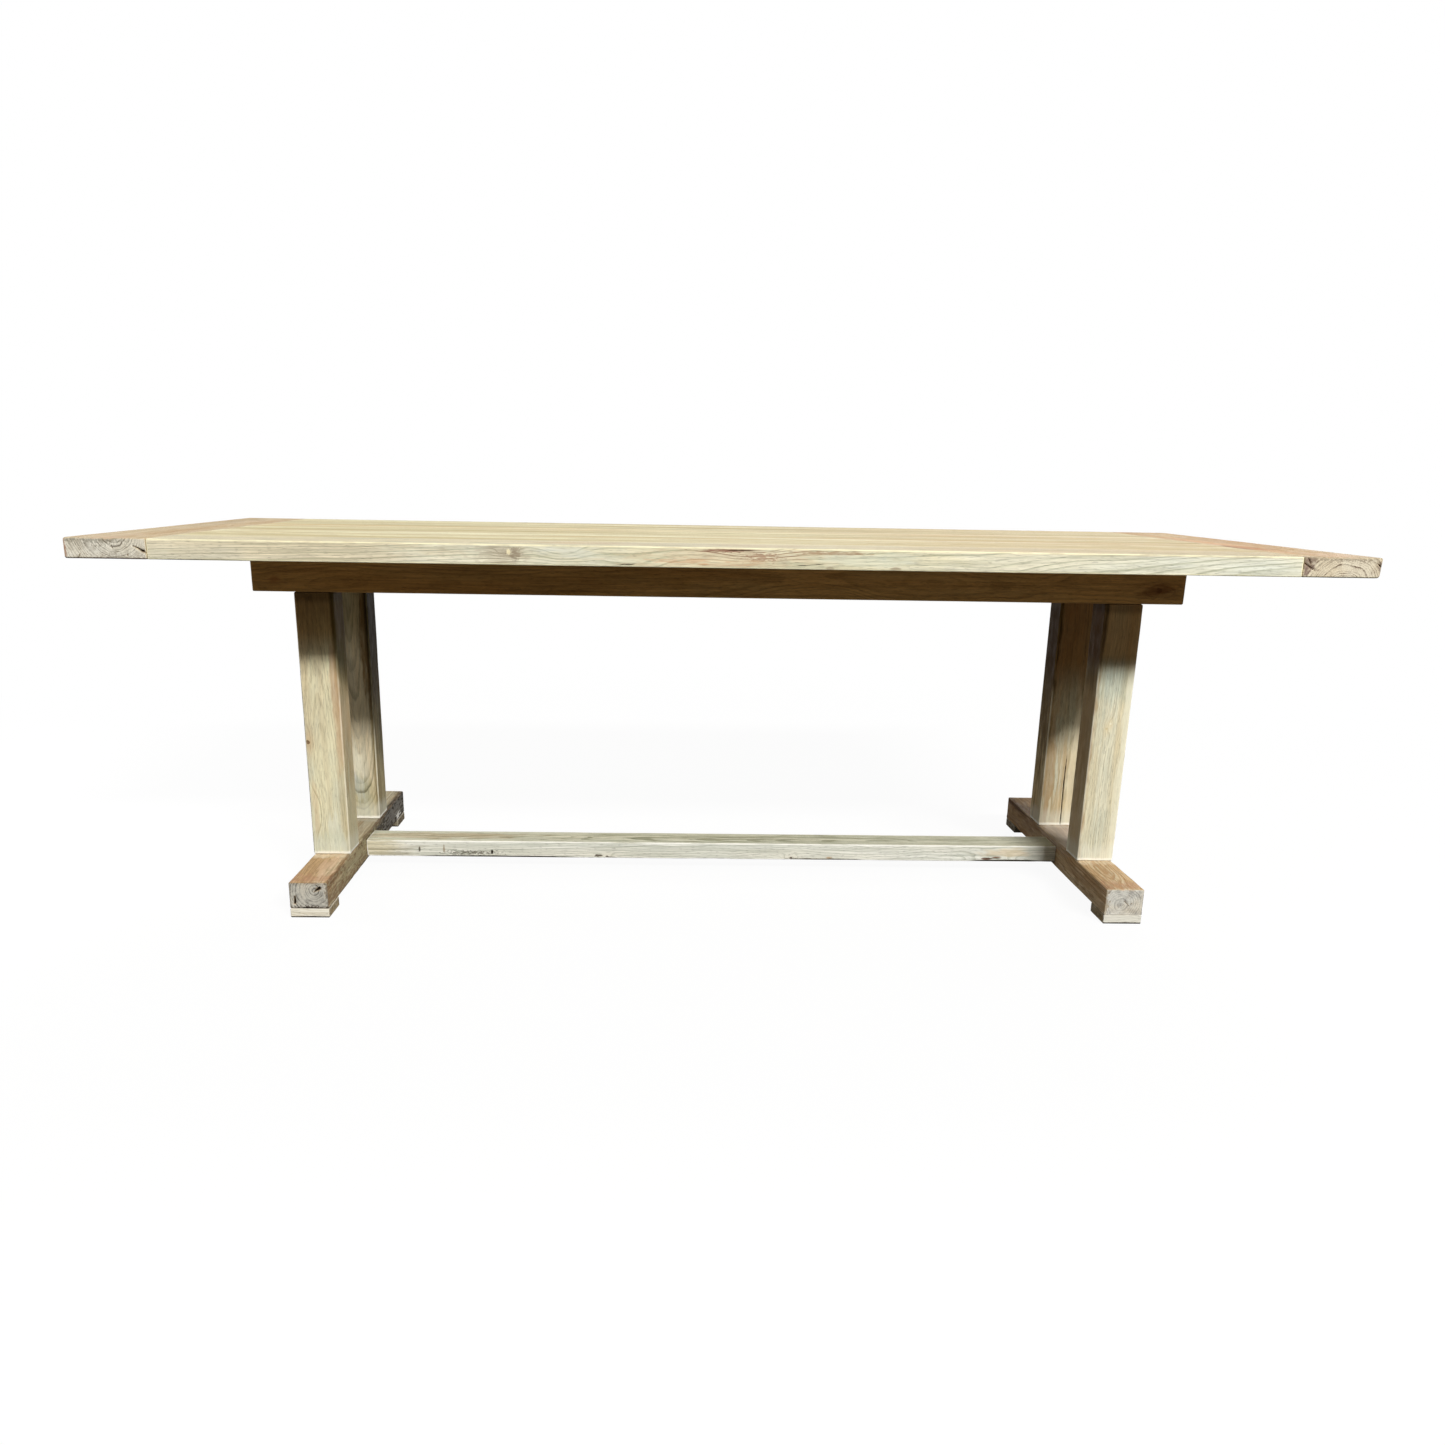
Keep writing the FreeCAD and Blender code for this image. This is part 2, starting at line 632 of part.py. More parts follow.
def threaded_insert():
    """A threaded sleeve from z = 0 upwards."""
    sleeve = rod("insert_sleeve", "insert_dia", "insert_length")
    thread = rod("insert_thread", "bolt_dia + 2 * thread_gap", "insert_length")
    return cut("threaded_insert", sleeve, [thread])


def barrel_nut():
    """A cross dowel about its own middle: upright, with a threaded hole along X."""
    barrel = rod("nut_barrel", "nut_dia", "nut_length", z="-nut_length / 2")
    thread = rod("nut_thread", "bolt_dia + 2 * thread_gap", "2 * nut_dia", "-nut_dia", turn=(along, 90))
    slot = box("nut_slot", "-nut_dia", "-drive_across / 4", "-nut_length / 2",
               "2 * nut_dia", "drive_across / 2", "drive_depth")
    return cut("barrel_nut", barrel, [thread, slot])


# The trestles ----------------------------------------------------------------------------------

def post(end, side):
    """A square post. Its own frame has the outer face at y = 0 and the foot shoulder at z = 0."""
    name = f"post_{end}_{side}"
    body = new_body(name)
    shaft = pad_up(
        body, f"{name}_shaft", "-post_size / 2", "0", "0", "post_size", "post_size", "post_length")
    ease(body, f"{name}_arrises", shaft, up)
    pad_up(body, f"{name}_foot_tenon", "-foot_tenon_size / 2", "post_size / 2 - foot_tenon_size / 2",
           "-foot_tenon_length", "foot_tenon_size", "foot_tenon_size", "foot_tenon_length")
    pad_up(body, f"{name}_rail_tenon", "-head_tenon_width / 2", "rail_thick / 2 - rail_tenon_thick / 2",
           "post_length", "head_tenon_width", "rail_tenon_thick", "head_tenon_length")
    pad_up(body, f"{name}_bearer_tenon", "-head_tenon_width / 2", "inner_tenon_out - bearer_tenon_thick / 2",
           "post_length", "head_tenon_width", "bearer_tenon_thick", "head_tenon_length")
    bore_up(body, f"{name}_lag_hole", "0", "post_size / 2", "-foot_tenon_length",
            "bolt_dia + 2 * thread_gap", "lag_length + tip_gap")
    rear = side == "rear"
    return put(body, "-trestle_out" if end == "left" else "trestle_out",
               "base_width / 2" if rear else "-base_width / 2", "foot_top", half_turn if rear else None)


def foot_beam(end):
    """The beam under two posts. Its own frame is centred on its underside, outer face towards +X."""
    name = f"foot_beam_{end}"
    body = new_body(name)
    beam = pad_up(body, f"{name}_beam", "-post_size / 2", "-foot_length / 2", "0",
                  "post_size", "foot_length", "foot_height")
    height = float(sheet.get("foot_height"))
    ease(body, f"{name}_arrises", beam, along, lambda middle: middle.z > height / 2)
    web = "foot_height - foot_tenon_length - tip_gap - lag_recess"
    for side, sign in (("front", "-"), ("rear", "+")):
        middle = f"{sign}post_out"
        pocket_down(body, f"{name}_mortise_{side}", "-foot_tenon_size / 2 - fit_gap",
                    f"{middle} - foot_tenon_size / 2 - fit_gap", "foot_height",
                    "foot_tenon_size + 2 * fit_gap", "foot_tenon_size + 2 * fit_gap",
                    "foot_tenon_length + tip_gap")
        bore_up(body, f"{name}_lag_recess_{side}", "0", middle, "0", "recess_dia", "lag_recess")
        bore_up(body, f"{name}_lag_hole_{side}", "0", middle, "lag_recess", "bolt_dia + 2 * bolt_gap", web)
        for number, step in ((1, "-"), (2, "+")):
            place = f"{sign}(foot_length / 2 - pad_length / 2) {step} pad_screw_pitch / 2"
            bore_up(body, f"{name}_pad_hole_{side}_{number}", "0", place, "0", "screw_dia + 2 * thread_gap",
                    "pad_screw_length - pad_height + pad_screw_sink + tip_gap")
    pocket_down(body, f"{name}_stretcher_mortise", "-post_size / 2", "-stretcher_tenon_width / 2 - fit_gap",
                "bolt_height + stretcher_tenon_thick / 2 + fit_gap", "stretcher_tenon_length + tip_gap",
                "stretcher_tenon_width + 2 * fit_gap", "stretcher_tenon_thick + 2 * fit_gap")
    bore_along(body, f"{name}_bolt_recess", "0", "bolt_height", "post_size / 2", "recess_dia", "bolt_recess")
    bore_along(body, f"{name}_bolt_hole", "0", "bolt_height", "post_size / 2 - bolt_recess",
               "bolt_dia + 2 * bolt_gap", "post_size - bolt_recess - stretcher_tenon_length - tip_gap")
    if end == "left":
        return put(body, "-trestle_out", "0", "pad_height", half_turn)
    return put(body, "trestle_out", "0", "pad_height")


def foot_pad(end, side):
    """A flat block under a foot beam's end. Its own frame has the beam's end face at y = 0."""
    name = f"foot_pad_{end}_{side}"
    plain = box(f"{name}_plain", "-post_size / 2", "0", "0", "post_size", "pad_length", "pad_height")

    def bevel(edge, bounds):
        low = edge.CenterOfMass.z < bounds.ZMin + touching
        return float(sheet.get("arris_radius")) / 2 if low else None

    body = chamfer(f"{name}_eased", plain, bevel)
    cuts = []
    for number, step in ((1, "-"), (2, "+")):
        y = f"pad_length / 2 {step} pad_screw_pitch / 2"
        cuts.append(rod(f"{name}_recess_{number}", "screw_recess_dia", "pad_screw_sink", "0", y))
        sink = cone(f"{name}_sink_{number}", "screw_head_dia", "screw_dia", "screw_head_height")
        cuts.append(put(sink, "0", y, "pad_screw_sink"))
        cuts.append(rod(f"{name}_hole_{number}", "screw_dia + 2 * bolt_gap", "pad_height", "0", y))
    whole = cut(name, body, cuts)
    whole.Label = name
    rear = side == "rear"
    return put(whole, "-trestle_out" if end == "left" else "trestle_out",
               "foot_length / 2" if rear else "-foot_length / 2", "0", half_turn if rear else None)


def stretcher():
    """The flat rail between the foot beams. Its own frame is centred on its underside."""
    body = new_body("stretcher")
    half = "(trestle_out - post_size / 2)"
    plain = pad_up(body, "stretcher_plain", f"-{half}", "-stretcher_width / 2", "0",
                   f"2 * {half}", "stretcher_width", "stretcher_thick")
    ease(body, "stretcher_arrises", plain, Vector(1, 0, 0))
    low = "stretcher_thick / 2 - stretcher_tenon_thick / 2"
    for end, sign, start in (("left", "-", f"-{half} - stretcher_tenon_length"), ("right", "", half)):
        pad_up(body, f"stretcher_tenon_{end}", start, "-stretcher_tenon_width / 2", low,
               "stretcher_tenon_length", "stretcher_tenon_width", "stretcher_tenon_thick")
        bore_along(body, f"stretcher_bolt_hole_{end}", "0", "stretcher_thick / 2",
                   f"{sign}({half} + stretcher_tenon_length)", "bolt_dia + 2 * bolt_gap",
                   "stretcher_tenon_length + nut_inset + nut_dia / 2 + bolt_past_nut + tip_gap",
                   towards_plus=end == "left")
        bore_up(body, f"stretcher_nut_hole_{end}", f"{sign}({half} - nut_inset)", "0", "0",
                "nut_dia + 2 * thread_gap", "stretcher_thick / 2 + nut_length / 2")
    return put(body, "0", "0", "stretcher_clear")


# The whole table -------------------------------------------------------------------------------

pieces = [top_board(number) for number in range(count("board_count"))]
pieces += [breadboard(side) for side in ("left", "right")]
pieces.append(breadboard_pegs())
pieces += [apron_rail(side) for side in ("front", "rear")]
pieces += [cross_member(*member) for member in cross_members()]
pieces.append(table_buttons())
pieces += [post(end, side) for end in ("left", "right") for side in ("front", "rear")]
pieces += [foot_beam(end) for end in ("left", "right")]
pieces += [foot_pad(end, side) for end in ("left", "right") for side in ("front", "rear")]
pieces.append(stretcher())

frame_screw_height = "rail_under + frame_screw_recess"
pieces.append(copies("frame_screws", wood_screw("frame_screw", "frame_screw_length"),
                     [(x, y, frame_screw_height, None) for tag, x, y in frame_screw_places()]))
pieces.append(copies("button_screws", wood_screw("button_screw", "button_screw_length"),
                     [(x, y, "top_under - button_height", None) for tag, x, y in button_places()]))

pad_screw_places = []
lag_places = []
for x in ("-trestle_out", "trestle_out"):
    for sign in "-+":
        lag_places.append((x, f"{sign}post_out", "pad_height + lag_recess - washer_thick", None))
        for step in "-+":
            y = f"{sign}(foot_length / 2 - pad_length / 2) {step} pad_screw_pitch / 2"
            pad_screw_places.append((x, y, "pad_screw_sink", None))
pieces.append(copies("pad_screws", wood_screw("pad_screw", "pad_screw_length"), pad_screw_places))
pieces.append(copies("foot_lag_screws", lag_screw(), lag_places))

flat_washer = washer()
pieces.append(copies("foot_lag_washers", flat_washer,
                     [(x, y, f"{z} + washer_thick", turn) for x, y, z, turn in lag_places]))

bearer_seat = "rail_under + bearer_bolt_recess"
bearer_places = bearer_bolt_places()
pieces.append(copies("bearer_bolts", cap_bolt("bearer_bolt", "bearer_bolt_length"),
                     [(x, y, f"{bearer_seat} - washer_thick", None) for tag, x, y in bearer_places]))
pieces.append(copies("bearer_washers", flat_washer,
                     [(x, y, bearer_seat, None) for tag, x, y in bearer_places]))
pieces.append(copies("bearer_inserts", threaded_insert(),
                     [(x, y, "top_under", None) for tag, x, y in bearer_places]))

bolt_axis = "pad_height + bolt_height"
bolt_out = "trestle_out + post_size / 2 - bolt_recess"
inwards_from_left = (along, 90)
inwards_from_right = (along, -90)
ends = (("-", inwards_from_left), ("", inwards_from_right))
pieces.append(copies("stretcher_bolts", cap_bolt("stretcher_bolt", "stretcher_bolt_length"),
                     [(f"{sign}({bolt_out} + washer_thick)", "0", bolt_axis, turn) for sign, turn in ends]))
pieces.append(copies("stretcher_washers", flat_washer,
                     [(f"{sign}({bolt_out})", "0", bolt_axis, turn) for sign, turn in ends]))
pieces.append(copies("stretcher_barrel_nuts", barrel_nut(),
                     [(f"{sign}(trestle_out - post_size / 2 - nut_inset)", "0", bolt_axis, None)
                      for sign, turn in ends]))
pieces.append(copies("bolt_plugs", rod("bolt_plug", "recess_dia", "plug_thick"),
                     [(f"{sign}(trestle_out + post_size / 2)", "0", bolt_axis, turn)
                      for sign, turn in ends]))

doc.recompute()
for thing in doc.Objects:
    if "Invalid" in thing.State or "Error" in thing.State:
        raise RuntimeError(f"{thing.Name} failed: {thing.State}")
for piece in pieces:
    if piece.Shape.isNull() or not piece.Shape.isValid() or not piece.Shape.Solids:
        raise RuntimeError(f"{piece.Label} has no valid solid")

os.makedirs("parts", exist_ok=True)
for piece in pieces:
    piece.Shape.exportStep(f"parts/{piece.Label}.step")
    print(piece.Label, len(piece.Shape.Solids), round(piece.Shape.Volume))
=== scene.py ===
import math

import bmesh
import bpy
import numpy as np
from mathutils import Matrix, Vector


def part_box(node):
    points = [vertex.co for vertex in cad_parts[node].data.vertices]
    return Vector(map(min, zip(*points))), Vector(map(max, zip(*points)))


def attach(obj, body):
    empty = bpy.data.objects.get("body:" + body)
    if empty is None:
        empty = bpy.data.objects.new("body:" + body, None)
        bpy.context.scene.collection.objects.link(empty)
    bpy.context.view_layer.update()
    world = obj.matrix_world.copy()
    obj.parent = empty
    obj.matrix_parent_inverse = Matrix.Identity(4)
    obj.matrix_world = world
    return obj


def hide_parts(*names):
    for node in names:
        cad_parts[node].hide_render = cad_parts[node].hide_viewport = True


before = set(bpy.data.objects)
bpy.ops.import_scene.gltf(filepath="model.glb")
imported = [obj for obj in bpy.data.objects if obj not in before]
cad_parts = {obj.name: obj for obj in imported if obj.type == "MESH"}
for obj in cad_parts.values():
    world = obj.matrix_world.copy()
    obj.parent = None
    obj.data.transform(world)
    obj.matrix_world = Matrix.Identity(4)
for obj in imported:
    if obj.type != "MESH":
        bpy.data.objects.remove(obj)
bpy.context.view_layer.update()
scene = bpy.context.scene
print("frame:", len(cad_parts), "nodes")


# ---- camera and lamps

cameraValues = {
    "place": (-0.1258, -2.8413, 0.8914),
    "tiltDown": 17.467,  # degrees
    "turnRight": 1.667,
    "roll": 1.006,
    "lens": 30.913,  # mm
    "sensor": 36,
    "shiftRight": 0.0192,
    "shiftUp": 0.0994,
    "farthest": 200,
}

lampValues = {  # a lamp with a size is a panel, and one with an angular width is a sun
    "key": {"power": 2760, "size": (6, 0.35), "height": 32.4, "side": 25, "far": 16, "aim": (0, 0, 0.4),
            "colour": (1, 0.985, 0.955)},
    "leftPanel": {"power": 26, "size": (1.4, 1.4), "height": 18, "side": -94, "far": 2.3,
                  "aim": (-0.85, 0, 0.35)},
    "overhead": {"power": 0.3, "width": 70, "height": 88, "side": 0},
    "back": {"power": 1.3, "width": 30, "height": 36, "side": 162},
}

roomValues = {
    "ambient": (0.1, 0.096, 0.086),
    "bounce": (0.17, 0.1649, 0.1564),  # colour of the floor as the object sees it
    "glow": 0.94,  # share of plain white in the floor as the camera sees it, near the object
    "fade": (1.3, 3.5),  # metres over which the rest of the floor goes plain white
    "floorSize": 40,
}


def addObject(name, data):
    made = bpy.data.objects.new(name, data)
    scene.collection.objects.link(made)
    return made


def makeCamera(values):
    data = bpy.data.cameras.new("camera")
    data.lens = values["lens"]
    data.sensor_width = values["sensor"]
    data.shift_x = values["shiftRight"]
    data.shift_y = values["shiftUp"]
    data.clip_end = values["farthest"]
    turn = Matrix.Rotation(-math.radians(values["turnRight"]), 4, "Z")
    tilt = Matrix.Rotation(math.radians(90 - values["tiltDown"]), 4, "X")
    roll = Matrix.Rotation(math.radians(values["roll"]), 4, "Z")
    scene.camera = addObject("camera", data)
    scene.camera.matrix_world = Matrix.Translation(values["place"]) @ turn @ tilt @ roll


def makeLamp(name, values):
    # side is from straight in front, towards +X
    height, side = math.radians(values["height"]), math.radians(values["side"])
    away = Vector((math.sin(side) * math.cos(height), -math.cos(side) * math.cos(height), math.sin(height)))
    data = bpy.data.lights.new(name, "AREA" if "size" in values else "SUN")
    data.energy = values["power"]
    data.color = values.get("colour", (1, 1, 1))
    lamp = addObject(name, data)
    lamp.rotation_euler = away.to_track_quat("Z", "Y").to_euler()
    if "width" in values:
        data.angle = math.radians(values["width"])
        return
    data.shape = "RECTANGLE"
    data.size, data.size_y = values["size"]
    lamp.location = Vector(values["aim"]) + away * values["far"]
    lamp.visible_camera = False


scene.view_settings.view_transform = "Standard"
makeCamera(cameraValues)
for lampName, lamp in lampValues.items():
    makeLamp(lampName, lamp)
print("camera, lamps:", len(lampValues))


# ---- node helpers

white = (1, 1, 1, 1)


def colour(red, green, blue):
    # screen colour 0-255 as linear red, green, blue, alpha
    parts = []
    for value in (red, green, blue):
        value = value / 255
        parts.append(value / 12.92 if value <= 0.04045 else ((value + 0.055) / 1.055) ** 2.4)
    return (*parts, 1)


class Wire:
    # an output socket that can be reckoned with
    def __init__(self, socket):
        self.socket = socket
        self.tree = socket.id_data

    def __add__(self, other):
        return sums("ADD", self, other)

    def __sub__(self, other):
        return sums("SUBTRACT", self, other)

    def __rsub__(self, other):
        return sums("SUBTRACT", other, self)

    def __mul__(self, other):
        return sums("MULTIPLY", self, other)

    def __truediv__(self, other):
        return sums("DIVIDE", self, other)


def feed(socket, value):
    # a number fills all of a vector; three numbers for a colour are a screen colour
    if isinstance(value, Wire):
        value.tree.links.new(value.socket, socket)
    elif socket.type == "VECTOR" and isinstance(value, (int, float)):
        socket.default_value = (value,) * 3
    elif socket.type == "RGBA" and len(value) == 3:
        socket.default_value = colour(*value)
    else:
        socket.default_value = value


def node(tree, kind, values=None, **settings):
    made = tree.nodes.new(kind)
    made.location = (180 * len(tree.nodes), 0)
    for name, value in settings.items():
        setattr(made, name, value)
    for name, value in (values or {}).items():
        feed(made.inputs[name], value)
    return made


def first(*given, output=0, **settings):
    return Wire(node(*given, **settings).outputs[output])


def wires(made):
    return {socket.name: Wire(socket) for socket in made.outputs}


def treeOf(*values):
    return next(value.tree for value in values if isinstance(value, Wire))


def isVector(value):
    return isinstance(value, tuple) or isinstance(value, Wire) and value.socket.type in ("VECTOR", "RGBA")


def sums(operation, *values):
    # vector maths where any value is a vector or a colour
    vector = any(isVector(value) for value in values)
    return first(treeOf(*values), "ShaderNodeVectorMath" if vector else "ShaderNodeMath",
                 dict(enumerate(values)), output=int(operation == "LENGTH"), operation=operation)


def part(place, axis):
    return first(place.tree, "ShaderNodeSeparateXYZ", {0: place}, output=axis)


def ramp(value, low, high, start=0.0, end=1.0):
    limits = {"Value": value, "From Min": low, "From Max": high, "To Min": start, "To Max": end}
    return first(value.tree, "ShaderNodeMapRange", limits, interpolation_type="SMOOTHSTEP")


def blend(share, under, over, way="MIX"):
    return first(treeOf(share, under, over), "ShaderNodeMix", {0: share, 6: under, 7: over}, output=2,
                 data_type="RGBA", blend_type=way, clamp_factor=True)


def cloud(place, stretch, detail=2, rough=0.5, output="Fac"):
    # noise that repeats about this many times a metre along each axis
    values = {"Vector": place * stretch, "Scale": 1, "Detail": detail, "Roughness": rough}
    return first(place.tree, "ShaderNodeTexNoise", values, output=output)


def makeGroup(name, build, **labels):
    # the inputs by kind; the outputs are what build makes of them
    tree = bpy.data.node_groups.new(name, "ShaderNodeTree")
    for kind, names in labels.items():
        for label in names.split():
            tree.interface.new_socket(label, in_out="INPUT", socket_type="NodeSocket" + kind)
    results = build(wires(node(tree, "NodeGroupInput")))
    for label in results:
        kind = "NodeSocketColor" if label == "colour" else "NodeSocketFloat"
        tree.interface.new_socket(label, in_out="OUTPUT", socket_type=kind)
    node(tree, "NodeGroupOutput", results)
    return tree


def useGroup(tree, group, values):
    made = node(tree, "ShaderNodeGroup", node_tree=group)
    for socket in made.inputs:
        feed(socket, values[socket.name])
    return wires(made)


def newMaterial(name):
    material = bpy.data.materials.new(name)
    material.use_nodes = True
    return material, material.node_tree


def coat(tree, values, height, strength, distance):
    # the inputs of a material's shader, with fine relief
    bump = first(tree, "ShaderNodeBump", {"Height": height, "Strength": strength, "Distance": distance})
    for name, value in {**values, "Normal": bump}.items():
        feed(tree.nodes["Principled BSDF"].inputs[name], value)


# ---- the room

def seenRays(tree):
    # 1 for rays that show the backdrop: straight from the camera, or by way of metal and gloss
    rays = wires(node(tree, "ShaderNodeLightPath"))
    straight = sums("MAXIMUM", rays["Is Camera Ray"], rays["Is Glossy Ray"])
    return sums("MAXIMUM", straight, rays["Is Transmission Ray"])


def makeWorld(values):
    scene.world = bpy.data.worlds.new("studio")
    scene.world.use_nodes = True
    tree = scene.world.node_tree
    level = blend(seenRays(tree), (*values["ambient"], 1), white)
    feed(tree.nodes["Background"].inputs["Color"], level)


def makeFloor(values):
    mesh = bpy.data.meshes.new("floor")
    far = values["floorSize"]
    mesh.from_pydata([(-far, -far, 0), (far, -far, 0), (far, far, 0), (-far, far, 0)], [], [(0, 1, 2, 3)])
    addObject("floor", mesh)
    material, tree = newMaterial("floorPaper")
    mesh.materials.append(material)
    tree.nodes.clear()
    bounce = first(tree, "ShaderNodeBsdfDiffuse", {"Color": (*values["bounce"], 1)})
    paper = first(tree, "ShaderNodeBsdfDiffuse", {"Color": white})
    glow = first(tree, "ShaderNodeEmission", {"Color": white})
    reach = sums("LENGTH", first(tree, "ShaderNodeTexCoord", output="Object"))
    fade = ramp(reach, *values["fade"], start=values["glow"])
    pale = first(tree, "ShaderNodeMixShader", {0: fade, 1: paper, 2: glow})
    both = first(tree, "ShaderNodeMixShader", {0: seenRays(tree), 1: bounce, 2: pale})
    node(tree, "ShaderNodeOutputMaterial", {"Surface": both})


makeWorld(roomValues)
makeFloor(roomValues)
print("room: world, floor")


# ---- shared effects of the timber

def figureNodes(given):
    # growth rings round a pith, so faces show long grain and ends show arcs
    place, wander, seed = given["place"], given["wander"], given["seed"]
    spot = place + seed * (7.3, 3.1, 5.7)
    curl = given["curl"] * wander
    moved = place
    for stretch, amount, detail in (((1.2, 5, 5), wander * 2, 1), ((4.6, 10, 10), curl * 3, 1),
                                    ((15, 45, 45), curl, 2)):
        moved = moved + (cloud(spot, stretch, detail, output="Color") - 0.5) * amount
    pith = given["pith"] + given["lean"] * part(moved, "X")
    radius = sums("LENGTH", (moved - pith) * (0, 1, 1))
    age = (radius + given["bend"]) / given["ringWidth"]
    uneven = first(age.tree, "ShaderNodeTexNoise", {"W": age * 0.31 + seed, "Scale": 1, "Detail": 1},
                   noise_dimensions="1D")
    age = age + uneven * 1.7
    phase = sums("FRACT", age)
    year = first(age.tree, "ShaderNodeTexWhiteNoise", {"W": sums("FLOOR", age) + seed}, noise_dimensions="1D")
    late = ramp(phase, given["early"], 0.9) * ramp(phase, 0.92, 1, 1, 0)
    return {
        "ringMask": late * ramp(year, 0, 1, 0.35, 1),
        "lineMask": ramp(cloud(spot, (4, 170, 170), 3, 0.65), 0.4, 0.66),
        "streaks": ramp(cloud(spot, (1.1, 17, 17), 3, 0.6), 0.38, 0.64),
        "patches": ramp(cloud(spot, (4.5, 15, 15), 3, 0.6), 0.42, 0.62),
        "pores": ramp(cloud(spot, (70, 1300, 1300), 0), 0.66, 0.74),
        "fibre": cloud(spot, (13, 620, 620), 2, 0.6),
        "mottle": cloud(spot, 70, 4, 0.65),
    }


def knotNodes(given):
    # a branch: it pushes the rings aside, and has a dark heart with its own rings
    place, size = given["place"], given["size"]
    rough = (cloud(place, 160, output="Color") - 0.5) * (size * given["ragged"])
    away = place - given["knot"] + rough
    near = sums("LENGTH", away) / size
    spread = sums("LENGTH", away * (0.4, 1, 1)) / (size * 2.4)
    bell = sums("EXPONENT", spread * spread * -1)
    rings = ramp(sums("SINE", near * 11), -1, 1, 0.82, 1)
    return {"heart": ramp(near, 0.75, 1.15, 1, 0) * rings, "halo": bell, "bend": bell * given["push"]}


def stainOrShadeNodes(given):
    # a soft ragged patch of another colour, used both for real stains and for painted shade
    torn = (cloud(given["place"] + given["spot"], given["torn"], 3, 0.6) - 0.5) * given["ragged"]
    near = sums("LENGTH", (given["place"] - given["spot"]) / given["size"]) + torn * 2
    return {"mask": ramp(near, 1.05 - given["edge"], 1.05, 1, 0) * given["amount"]}


def tonesNodes(given):
    # the colours of bleached timber from its figure
    rings, mottle = given["ringMask"], given["mottle"]
    greyed = given["patches"] * given["greyness"]
    lined = given["lineMask"] * given["lines"]
    tone = blend(greyed, given["pale"], given["grey"])
    tone = blend(given["streaks"] * given["warmth"], tone, given["warm"])
    tone = blend(rings * given["rings"], tone, given["late"])
    tone = blend(lined, tone, given["late"])
    cut = blend(ramp(mottle, 0.42, 0.7, 0, given["cutMottle"]), given["cut"], given["cutLate"])
    cut = blend(greyed * 0.5, cut, given["pale"])
    deep = blend(1, given["cutLate"], (0.46, 0.44, 0.42, 1), "MULTIPLY")
    cut = blend(rings * ramp(mottle, 0.36, 0.6, 0.35, 1) * given["cutRings"], cut, deep)
    shade = ramp(given["fibre"], 0.3, 0.7, 1.05, 0.84) * ramp(given["pores"], 0, 1, 1, 0.72)
    height = given["fibre"] * 0.6 + rings * given["rings"] * 0.5 + lined * 0.6 + given["pores"]
    return {"colour": blend(1, blend(given["end"], tone, cut), shade, "MULTIPLY"), "height": 1 - height}


def wearNodes(given):
    # worn arrises go pale; the other outputs are for open checks and for roughness
    rub = ramp(cloud(given["place"], (14, 40, 40), 3, 0.6), 0.3, 0.62, 0.25, 1) * given["wear"]
    return {
        "colour": blend(ramp(given["arris"], 0.1, 0.9) * rub, given["tone"], given["worn"]),
        "open": ramp(given["check"], 0.08, 0.75),
        "rough": ramp(cloud(given["place"], (30, 90, 90)), 0.3, 0.7, 0.6, 0.78),
    }


def metalNodes(given):
    # cloudy plating with fine scratches
    clouds = cloud(given["place"], 220, 3, 0.6)
    return {
        "colour": blend(ramp(clouds, 0.35, 0.7), given["bright"], given["dull"]),
        "rough": ramp(clouds, 0.3, 0.7, 0.26, 0.48),
        "height": cloud(given["place"], (300, 4000, 900)),
    }


timberFigure = makeGroup("timberFigure", figureNodes, Vector="place pith lean",
                         Float="ringWidth wander curl early bend seed")
timberKnot = makeGroup("timberKnot", knotNodes, Vector="place knot", Float="size push ragged")
timberStainOrShade = makeGroup("timberStainOrShade", stainOrShadeNodes, Vector="place spot size torn", Float="ragged edge amount")
timberTones = makeGroup(
    "timberTones", tonesNodes, Color="pale late warm grey cut cutLate",
    Float="ringMask lineMask streaks patches pores fibre mottle end "
          "rings lines warmth greyness cutRings cutMottle")
timberWear = makeGroup("timberWear", wearNodes, Vector="place", Float="arris check wear", Color="tone worn")
platedMetal = makeGroup("platedMetal", metalNodes, Vector="place", Color="bright dull")
print("shader groups:", len(bpy.data.node_groups))


# ---- rows of the value dictionaries; places are shares of a face's half length and half width

def stainOrShade(face, along, across, size, tint, amount, ragged=0.9, torn=(16, 90), **more):
    # a patch sized along, across and through; it serves real stains and painted shade alike
    long, wide, deep = (*size, 0.01)[:3]
    return {"face": face, "along": along, "across": across, "size": (long, wide, deep), "tint": tint,
            "amount": amount, "ragged": ragged, "torn": (*torn, torn[1]),
            "edge": 0.6, "way": "MIX", "over": False, **more}


def wash(*values, **more):
    # a patch that multiplies the colour under it, used for tints and for painted shade
    return stainOrShade(*values, way="MULTIPLY", **more)


def knot(face, along, across, size, push, **more):
    return {"face": face, "along": along, "across": across, "size": size, "push": push, "ragged": 0.9,
            "buried": False, "depth": 0.0006, "dark": 0.35, "haloAmount": 0.4, **more}


def buriedKnot(*values):
    # only bends the rings
    return knot(*values, buried=True, ragged=0.0)


def openCheck(face, across, start, finish, width, depth, drift):
    return {"face": face, "across": across, "start": start, "finish": finish, "width": width,
            "depth": depth, "drift": drift}


def endCheck(start, finish, width, depth):
    # from a spot to a spot on the front end
    return {"start": np.array(start), "finish": np.array(finish), "width": width, "depth": depth}


# ---- timber: a worn block cut to the joints of its CAD solid

faceOf = {"left": (0, -1), "right": (0, 1), "front": (1, -1), "rear": (1, 1), "under": (2, -1), "top": (2, 1)}
towardsX = {  # turns a timber's length onto X
    0: Matrix.Identity(3),
    1: Matrix.Rotation(math.radians(-90), 3, "Z"),
    2: Matrix.Rotation(math.radians(90), 3, "Y"),
}

